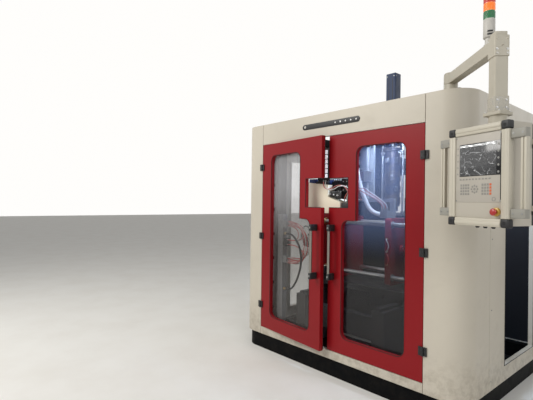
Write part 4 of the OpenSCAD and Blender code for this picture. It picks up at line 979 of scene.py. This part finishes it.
def resampled(line, spacing):
    """Points at even spacing along a line."""
    points, left = [line[0]], spacing
    for a, b in zip(line, line[1:]):
        step = (b - a).length
        at = left
        while at <= step:
            points.append(a.lerp(b, at / step))
            at += spacing
        left = at - step
    points.append(line[-1])
    return points


def add_ribbed_hose():
    """Ribbed hose from the blow-pin shelf down to the air block beside the pin."""
    route = [(90, 2092), (90, 2052.1), (91.6, 1992.6), (96.6, 1933.4), (104.8, 1874.5),
             (116.2, 1816.2), (130.9, 1758.5), (148.7, 1701.8), (169.6, 1646.2), (193.6, 1591.7),
             (220.6, 1538.7), (237.4, 1513.5), (258.5, 1491.6), (283.1, 1473.9), (310.5, 1460.7),
             (339.7, 1452.7), (370, 1450), (380, 1450)]
    line = resampled(eased([(x, front + 270, z) for x, z in route], 6), 2.2)
    wave = [17.4, 19.2, 20.0, 19.2]
    part.bead(line, [wave[i % 4] for i in range(len(line))], sides=18)
    hose = part.make("ribbed_hose_skin", "hose_white", stands_for="ribbed_hose", smooth=60)
    declare_cord(hose, line, line[::3] + [line[-1]])


def add_valve_tubes():
    """Tubes at the valve station, with their fittings."""
    colours = ("tube_pink", "tube_white")
    for i in range(4):
        x, far = 98 + i * 25, 392 + i * 16
        air_tube("long_tube_%d" % (i + 1),
                 [(x, -845, 1562), (x + 2, -844, 1600 + i * 6), (x + 40, -835, 1652 + i * 5),
                  (x + 110, -810, 1668 + i * 4), (250 + i * 22, -775, 1640 + i * 2),
                  (330 + i * 18, -735, 1590), (far - 12, -710, 1545), (far, -702, 1516),
                  (far, -702, 1500)], 4, colours[i % 2])
        air_tube("short_tube_%d" % (i + 1),
                 [(x, -805, 1562), (x, -804, 1604), (x - 3, -792, 1643), (x - 8, -758, 1668 + i * 2),
                  (x - 18, -716, 1658 + i * 2), (x - 28, -686, 1625), (60 + i * 24, -664, 1594),
                  (57 + i * 24, -645, 1579), (56 + i * 24, -630, 1575)], 4, colours[(i + 1) % 2])
    for i in range(2):
        x = -112 + i * 24
        air_tube("valve_tube_%d" % (i + 1),
                 [(x, -890, 1741), (x, -892, 1716), (x + 14, -894, 1688 - 6 * i),
                  (x + 52, -894, 1672 - 8 * i), (x + 104, -893, 1680 - 8 * i),
                  (x + 150, -890, 1700 - 6 * i), (x + 196, -884, 1704 - 6 * i), (x + 238, -875, 1684),
                  (150 + i * 19, -866, 1642), (152 + i * 18, -862, 1600), (152 + i * 18, -862, 1562)],
                 4, colours[i])
    part.fittings(grid((152, 170), [-862], [1545]), UP, 6, 19)
    part.fittings(grid((-112, -88), [-890], [1756]), DOWN, 6, 17)
    part.fittings(grid(range(98, 174, 25), (-845, -805), [1545]), UP)
    part.fittings(grid(range(56, 129, 24), [-610], [1575]), FRONT)
    part.fittings(grid(range(392, 441, 16), [-702], [1481]), UP, 7)
    part.make("push_fittings", "zinc_screws")
    part.block((80, 190), (-870, -780), (1470, 1545), 3)
    for x in range(87, 163, 25):
        part.block((x, x + 22), (-873, -869), (1480, 1536), 1)
    part.make("valve_station", "black_plastic", stands_for="valve_block")
    part.lathe([(0, 3), (3, 3), (4.5, 4.5), (6.5, 4.5), (7, 3.6), (7, 0), (0, 0)],
               grid(range(98, 174, 25), [-873], [1492]), FRONT, 14)
    part.make("valve_buttons", "brass")


def add_column_bundle():
    """Bundle at the service column: long loops, short ones by way of a manifold, and one hose."""
    ports = []

    def loop(number, first, last, reach, sag):
        """Tube from one port, at (y, z), of the column out to reach and back to a lower port."""
        x0, width, drop = -594, reach + 594, first[1] - last[1]
        near = 25 / width
        steps = ((0, 0, 0), (near, 0, 0), (0.5, 0.05, 0.05), (0.86, 0.22, 0.3), (1, 0.5, 0.7),
                 (0.88, 0.78, 1), (0.52, 0.96, 0.7), (near, 1, 0), (0, 1, 0))
        air_tube("column_tube_%d" % number,
                 [(x0 + width * out, first[0] + (last[0] - first[0]) * down,
                   first[1] - drop * down - sag * low) for out, down, low in steps],
                 4, "tube_red" if number % 2 else "tube_white")
        ports.extend((first, last))

    for i in range(8):
        y = -871 + i * 5.8
        loop(i + 1, (y, 1352 - i * 8), (y, 934 + i * 8), -366 + (i % 4) * 17, 10 + 6 * (i % 3))
    upper = ((-872, 1308), (-864, 1298), (-832, 1340), (-840, 1350))
    lower = ((-872, 975), (-864, 988), (-832, 945), (-840, 936))
    for i in range(4):
        y = -868 + i * 12
        loop(i + 9, upper[i], (y, 1164), -446 + i * 22, 12)
        loop(i + 13, (y, 1116), lower[i], -424 + (3 - i) * 19, 26)
    part.block((-661, -615), (-875, -825), (1100, 1180), 2)
    part.make("column_manifold", "black_plastic")
    part.fittings([(-615, y, z) for y, z in ports], RIGHT, 3.4, 21)
    part.make("column_fittings", "zinc_screws")
    air_tube("column_hose",
             [(-634, -850, 1225), (-600, -851, 1225), (-540, -864, 1216), (-470, -883, 1178),
              (-415, -886, 1105), (-392, -886, 1010), (-398, -886, 915), (-432, -882, 820),
              (-484, -870, 740), (-544, -858, 680), (-600, -851, 661), (-634, -850, 660)],
             10, "tube_black")
    part.fittings(grid([-660], [-850], (1225, 660)), RIGHT, 14, 28)
    part.make("column_hose_fittings", "brass")


def add_clamp_hoses():
    """Cooling loops of the platens, and the hoses that ride on the mould carriage."""
    steps = ((0, -478, 0), (4, -486, 0), (24, -502, 12), (44, -512, 38), (50, -514, 60),
             (44, -512, 82), (24, -502, 108), (4, -486, 120), (0, -478, 120))
    for side in SIDES:
        for k, top, look in ((1, 1220, "tube_white"), (3, 1100, "tube_red")):
            air_tube("cooling_tube_%d" % (k + (side > 0)),
                     [(side * (290 + out), y, top - down) for out, y, down in steps],
                     4, look, name_of[side] + "_clamp")
    for number, x, points in (
            (1, -602, [(-560, -495, 896), (-560, -494, 950), (-566, -480, 1030), (-580, -445, 1110),
                       (-596, -395, 1170)]),
            (2, -866, [(-500, -495, 896), (-503, -494, 945), (-540, -490, 1010), (-620, -480, 1060),
                       (-730, -455, 1100), (-825, -415, 1140), (-860, -386, 1180)]),
            (3, 602, [(-400, -495, 800), (-350, -496, 797), (-280, -505, 785), (-200, -515, 772),
                      (-100, -519, 767), (100, -520, 767), (300, -520, 767), (420, -520, 769),
                      (510, -514, 792), (572, -496, 850), (598, -462, 950), (602, -425, 1060),
                      (602, -388, 1160)]),
            (4, 866, [(-400, -510, 830), (-350, -512, 826), (-280, -522, 806), (-200, -535, 782),
                      (-110, -542, 769), (0, -543, 767), (240, -543, 767), (450, -543, 768),
                      (570, -540, 780), (680, -528, 815), (765, -504, 880), (825, -470, 965),
                      (856, -430, 1065), (864, -390, 1160)])):
        arch = [(x, y, z) for y, z in circle(62, range(180, -1, -30), (-312, 1212))]
        air_tube("clamp_hose_%d" % number, points + arch + [(x, -250, 1190)], 7, "tube_black",
                 "mould_carriage")
    part.fittings(grid((-866, -602, 602, 866), [-250], [1168]), UP, 10, 24)
    part.fittings(grid((-560, -500), [-495], [888]), UP, 10, 8)
    part.make("clamp_hose_fittings", "zinc_screws", "mould_carriage")


def add_tubes():
    add_ribbed_hose()
    add_valve_tubes()
    add_column_bundle()
    add_clamp_hoses()


# Clamp

def dress_clamp():
    """Bushes, bolts, collars and fittings of the clamp."""
    body, centre_y, ram_z, bushes_x, collars_x = "mould_carriage", -250, 1105, 480, 320
    centre = (centre_y, ram_z)
    ties = (centre_y - 165, centre_y + 165), (860, 1350)
    for side in SIDES:
        part.lathe(collar(22.2, 38, 8), grid([side * bushes_x], *ties), (-side, 0, 0), 28)
    part.make("clamp_bushes", "brass", body)
    for side in SIDES:
        out, end = (side, 0, 0), side * 900
        part.bolts([(side * 568, y, z) for y, z in circle(80, range(22, 360, 45), centre)], out, 14, 9)
        for y, z in circle(69, (45, 135, 225, 315), centre):
            part.rod((side * 560, y, z), (end + side * 4, y, z), 6, 12)
            part.bolts([(end, y, z)], out, 16, 12)
        part.rod((end, *centre), (end + side * 7, *centre), 30, 32, 1.5)
        foot_x = side * 510
        for y in (centre_y - 225, centre_y + 225):
            part.block((foot_x - 30, foot_x + 30), (y - 15, y + 15), (760, 776), 2)
            part.bolts([(foot_x - 16, y, 776), (foot_x + 16, y, 776)], UP, 14, 9)
    part.make("clamp_hardware", "zinc_screws", body)
    for side, label in name_of.items():
        out, port_x, port_y = (side, 0, 0), side * 290, centre_y - 214
        part.screws([(side * 340, y, z) for y, z in circle(38, range(30, 360, 60), centre)], out, 5, 3)
        part.lathe(collar(22.4, 34, 9, 3), grid([side * collars_x], *ties), out, 24)
        part.make(label + "_platen_hardware", "zinc_screws", label + "_clamp")
        for z in (ram_z - 125, ram_z - 5, ram_z + 115):
            part.rod((port_x, port_y + 14, z), (port_x, port_y, z), 9, 6, 0.6)
            part.lathe(button(6, 7, 14, 12), [(port_x, port_y, z)], FRONT, 16)
        part.make(label + "_cooling_fittings", "brass", label + "_clamp")
    dress_carriage(centre_y)


def dress_carriage(centre_y):
    """Plugs of the rails, wipers of the blocks that run on them, and the carriage's junction box."""
    rails = (-440, 440)
    part.lathe([(0, 0.4), (4.5, 0.4), (5.5, 1.0), (7.5, 1.0), (7.5, 0), (0, 0)],
               grid(rails, range(-800, 821, 60), [668]), UP, 12)
    part.make("rail_plugs", "black_plastic")
    for rail in rails:
        for block_y in (centre_y - 200, centre_y + 200):
            for face in SIDES:
                y = block_y + face * 80
                for x in (rail - 37, rail + 37):
                    part.block((x - 12, x + 12), sorted((y, y + face * 6)), (648, 712), 1)
                part.block((rail - 49, rail + 49), sorted((y, y + face * 6)), (672, 712), 1)
    part.make("rail_wipers", "rubber_black", "mould_carriage")
    part.block((-590, -400), (-528, -462), (888, 893), 2)
    part.block((-580, -410), (-528.5, -524), (770, 880), 2)
    part.make("junction_box_lid", "cover_cream", "mould_carriage")
    part.screws(grid((-572, -418), [-528.5], (778, 872)), FRONT, 3.4, 2.4)
    part.make("junction_box_screws", "zinc_screws", "mould_carriage")


# Head, roof actuator and blow pin

def dress_head():
    """Band clamps and terminals of the head, its screws and the collars of its hanger rods."""
    head_y, bands = 90, (1580, 1700, 1820, 2000)
    for i, z in enumerate(bands):
        degrees = -35 if i % 2 else -62
        outward = Vector((*circle(1, [degrees])[0], 0))
        across = Vector((-outward.y, outward.x, 0))
        at = Vector((0, head_y, z)) + outward * 85
        for lift in (-20, 20):
            middle = at + outward * 9 + Vector((0, 0, lift))
            part.rod(middle - across * 15, middle + across * 15, 3.2, 10)
        for lean in SIDES:
            foot = at + across * 9 * lean + outward * 6
            part.cuboid(Matrix.Translation(foot) @ turned(degrees), (18, 5, 62), 0.8)
    part.make("band_clamps", "zinc_screws")
    for z in bands:
        near = head_y - 112 if z == 2000 else head_y + 84
        part.block((-24, 24), (near, near + 28), (z - 22, z + 22), 3)
    part.make("band_terminals", "steel_grey")
    part.screws([(x, y, 2130) for x, y in circle(72, range(15, 360, 60), (0, head_y))], UP, 6, 7)
    part.screws([(x, y, 1470) for x, y in circle(48, range(0, 360, 45), (0, head_y))], DOWN, 4.5, 5)
    part.bolts(grid((-66, 66), (head_y - 50, head_y + 50), [2130]), UP, 20, 12)
    part.make("head_screws", "zinc_screws")
    part.lathe(collar(11.1, 20, 15), grid((-120, 120), [head_y], (1453, 2055, 2240)), UP, 24)
    part.make("rod_collars", "zinc_screws")
    dress_actuator(head_y)
    dress_blow_pin()


def dress_actuator(y):
    """Screws, grooves, plug and breather of the roof actuator."""
    softened("parison_actuator", 2.5)
    half, ends, xs, ys = 55, (2462, 2890), (-40, 40), (y - 40, y + 40)
    for side in SIDES:
        part.screws(grid([side * half], ys, ends), (side, 0, 0), 3.4, 3)
        part.screws(grid(xs, [y + side * half], ends), (0, side, 0), 3.4, 3)
    part.screws(grid(xs, ys, [2920]), UP, 3.4, 3)
    part.make("actuator_screws", "zinc_screws")
    for off in (-22, 22):
        part.block((off - 3, off + 3), (y - 56, y - 54), (2480, 2870), 0.6)
        part.block((54, 56), (y + off - 3, y + off + 3), (2480, 2870), 0.6)
    part.lathe([(0, 0), (9, 0), (9, 10), (16, 14), (18, 20), (18, 30), (15, 34), (0, 34)],
               [(60, y - 44, 2440)], (1, -0.6, 0), 24)
    part.lathe([(0, 0), (13, 0), (13, 8), (11, 10), (11, 20), (8, 26), (0, 26)],
               [(-half, y, 2840)], (-1, 0, 0), 18)
    part.make("actuator_trim", "black_plastic")


def dress_blow_pin():
    """Blow cylinder with its tie rods, collars and bolts of the frame, and the slide's hardware."""
    pin_y, low, high, head = -550, 2130, 2340, 22
    guides, guide_y, frame_y, slide_y = (-95, 95), -500, -440, -590
    for x, y, z in grid((-30, 30), (pin_y - 30, pin_y + 30), [high]):
        part.rod((x, y, low), (x, y, high + 6), 5, 12)
        part.bolts([(x, y, high)], UP, 13, 9)
    for z in ((low, low + head), (high - head, high)):
        part.block((-42, 42), (pin_y - 42, pin_y + 42), z, 3)
    part.make("blow_cylinder_heads", "panel_alu")
    part.fittings(grid([42], [pin_y], (low + head / 2, high - head / 2)), RIGHT)
    for z, axis in ((1590, UP), (2100, DOWN)):
        part.lathe(collar(15.1, 27, 9), grid(guides, [guide_y], [z]), axis, 24)
    part.bolts(grid((-110, 110), [frame_y], (1650, 1850, 2050, 2220)), REAR)
    part.make("blow_frame_hardware", "zinc_screws")
    for z, axis in ((1750, DOWN), (1850, UP)):
        part.lathe(collar(15.4, 24, 7), grid(guides, [guide_y], [z]), axis, 24)
    part.screws(grid((-105, -60, 60, 105), [slide_y], (1768, 1832)), FRONT, 5, 5)
    part.lathe(collar(20.1, 34, 16, 4), [(0, pin_y, 1750)], DOWN, 28)
    part.make("slide_hardware", "zinc_screws", "blow_unit")


# Extruder behind the enclosure

def dress_extruder():
    """Straps and terminals of the barrel's bands, and bolts and fittings of the drive."""
    barrel_z, first_y, throat_y = 1950, 215, 1485
    pitch = (throat_y - first_y - 90) / 5
    starts = [first_y + 70 + i * pitch for i in range(5)]
    for start in starts:
        end = start + pitch - 30
        for y in (start + 22, end - 22):
            part.block((-9, 9), (y - 10, y + 10), (barrel_z + 82, barrel_z + 98), 2)
        part.block((-4, 4), (start + 4, end - 4), (barrel_z + 84, barrel_z + 88), 1)
        part.lathe([(86.2, -4), (87.6, -4), (87.6, 4), (86.2, 4), (86.2, -4)],
                   grid([0], (start + 8, end - 8), [barrel_z]), REAR, 40)
    part.make("band_straps", "zinc_screws")
    for start in starts:
        y = start + pitch / 2 - 15
        part.block((82, 118), (y - 34, y + 34), (barrel_z - 24, barrel_z + 24), 4)
        part.lathe([(0, 0), (10, 0), (10, 8), (8, 10), (8, 18), (5, 24), (0, 24)],
                   [(100, y, barrel_z - 24)], DOWN, 16)
    part.make("barrel_terminals", "steel_grey")

    gear_y, motor_y, motor_z = 1705, 2185, 1890
    part.bolts([(x, first_y + 40, z) for x, z in circle(85, range(0, 360, 45), (0, barrel_z))], REAR, 14, 10)
    part.bolts(grid((-415, -265, 265, 415), (985, 1135, 2375, 2525), [12]), UP, 20, 13)
    part.bolts(grid((-230, 230), (gear_y + 60, gear_y + 240, gear_y + 420), [1650]), UP, 20, 13)
    part.screws(grid((-190, 190), [gear_y], (1700, 1850, 2000, 2120)), FRONT, 6, 6)
    for side in SIDES:
        part.screws(grid([side * 210], (gear_y + 30, gear_y + 450), (1690, 1820, 1990, 2120)),
                    (side, 0, 0), 6, 6)
    part.bolts([(x, motor_y + 24, z) for x, z in circle(148, range(22, 360, 45), (0, motor_z))], REAR, 13, 9)
    part.make("extruder_hardware", "zinc_screws")
    softened("gearbox", 6.0, 3)
    softened("extruder_stand", 2.5)
    part.lathe([(0, 0), (13, 0), (13, 6), (9, 8), (9, 18), (14, 20), (14, 30), (10, 34), (0, 34)],
               [(-120, gear_y + 120, 2150)], UP, 18)
    part.lathe([(0, 0), (20, 0), (20, 7), (17, 10), (14, 8), (0, 8)], [(210, gear_y + 240, 1800)],
               RIGHT, 24)
    part.rod((210, gear_y + 240, 1700), (222, gear_y + 240, 1700), 11, 6, 0.8)
    part.make("gearbox_fittings", "brass")
    dress_motor(motor_y, motor_z)
    dress_hopper()


def dress_motor(y, z):
    """Terminal box, fan grille and lifting eye of the motor."""
    part.block((-62, 62), (y + 110, y + 250), (z + 118, z + 182), 7, 3)
    part.block((-58, 58), (y + 114, y + 246), (z + 182, z + 188), 3)
    part.make("motor_terminal_box", "machine_grey")
    end = y + 430
    for r in range(30, 126, 16):
        part.lathe([(r, 0), (r + 7, 0), (r + 7, 2.4), (r, 2.4), (r, 0)], [(0, end, z)], REAR, 48)
    for degrees in range(0, 360, 60):
        part.cuboid(Matrix.Translation((0, end + 1.8, z)) @ turned(degrees, "Y"), (250, 3, 5))
    part.make("fan_grille", "black_plastic")
    part.lathe(circle(5, range(90, 451, 36), (22, 0)), [(0, y + 60, z + 166)], FRONT, 24)
    part.rod((0, y + 60, z + 122), (0, y + 60, z + 146), 13, 20, 1)
    part.make("motor_lifting_eye", "zinc_screws")


def dress_hopper():
    """Seams, sight strip and bolts of the hopper, and the rim and knob of its lid."""
    middle, r, top = 1595, 260, 2750
    wall = middle - r + 1
    part.lathe([(r, -4), (r + 2.4, -3), (r + 2.4, 3), (r, 4), (r, -4)],
               grid([0], [middle], (2470, 2740, 2700)), UP, 56)
    part.bead([(-18, wall, 2520), (18, wall, 2520), (18, wall, 2680), (-18, wall, 2680)], 3.0, closed=True)
    part.bolts([(x, y, 2082) for x, y in circle(80, range(22, 360, 45), (0, middle))], UP, 13, 9)
    part.make("hopper_trim", "zinc_screws")
    part.block((-16, 16), (wall - 3, wall + 2), (2522, 2678), 1.5)
    part.make("hopper_sight_strip", "screen_black")
    part.lathe([(266, -10), (268.5, -10), (268.5, 2), (266, 4.4), (262, 4.4), (266, 1), (266, -10)],
               [(0, middle, top + 0.5)], UP, 64)
    part.lathe([(0, 3.5), (16, 3.5), (10, 8), (10, 24), (15, 29), (17, 34), (15, 38), (0, 40)],
               [(0, middle - 200, top)], UP, 28)
    part.make("lid_rim_and_knob", "zinc_screws", "lid")


# Studio

def add_light(name, at, towards, size, power, colour=(1, 1, 1)):
    data = bpy.data.lights.new(name, "AREA")
    data.shape = "RECTANGLE"
    data.size, data.size_y = size
    data.energy = power
    data.color = colour
    aim = Vector(towards) - Vector(at)
    linked(name, data).matrix_world = (Matrix.Translation(Vector(at))
                                       @ aim.to_track_quat("-Z", "Y").to_matrix().to_4x4())


def add_studio():
    """Pale floor, even white world and soft lamps."""
    s = Shader("floor_pale")
    mark = s.grain(2.0, 5.0, 0.6)
    s.surface(Base_Color=s.mix(mark.smooth(0.3, 0.8), tone(240, 239, 235), tone(234, 232, 227)),
              Roughness=0.7)
    bmesh.ops.create_grid(part.bm, x_segments=2, y_segments=2, size=40000)
    part.placed("floor", "floor_pale", to_metres)

    world = Shader("studio", bpy.data.worlds.new("studio"))
    bpy.context.scene.world = world.owner
    camera, glossy, through = (world.node("ShaderNodeLightPath", out="Is %s Ray" % kind)
                               for kind in ("Camera", "Glossy", "Transmission"))
    strength = world.node("ShaderNodeMapRange", {"Value": camera.at_least(glossy.at_least(through)),
                                                 "To Min": 0.28, "To Max": 1.0})
    world.node("ShaderNodeOutputWorld", {"Surface": world.node(
        "ShaderNodeBackground", {"Color": (1.0, 0.99, 0.97, 1.0), "Strength": strength})})

    add_light("key", (-2.6, -6.0, 5.2), (0, -0.6, 1.3), (3.5, 3.5), 315, (1.0, 0.98, 0.94))
    add_light("fill", (5.5, -3.5, 3.4), (0.3, 0, 1.2), (3.0, 3.0), 90)
    add_light("back", (1.5, 6.5, 4.5), (0, 1.0, 1.5), (4.0, 3.0), 70)
    add_light("led_inside", (0.35, -0.62, 2.22), (0.38, -0.30, 1.5), (1.2, 0.06), 34, (0.60, 0.76, 1.0))


bpy.context.scene.view_settings.view_transform = "Standard"
add_camera()
add_tubes()
dress_frame()
dress_panel()
dress_arm()
dress_lamp()
for side in SIDES:
    dress_door(side)
dress_enclosure()
dress_gap()
dress_clamp()
dress_head()
dress_extruder()
add_studio()
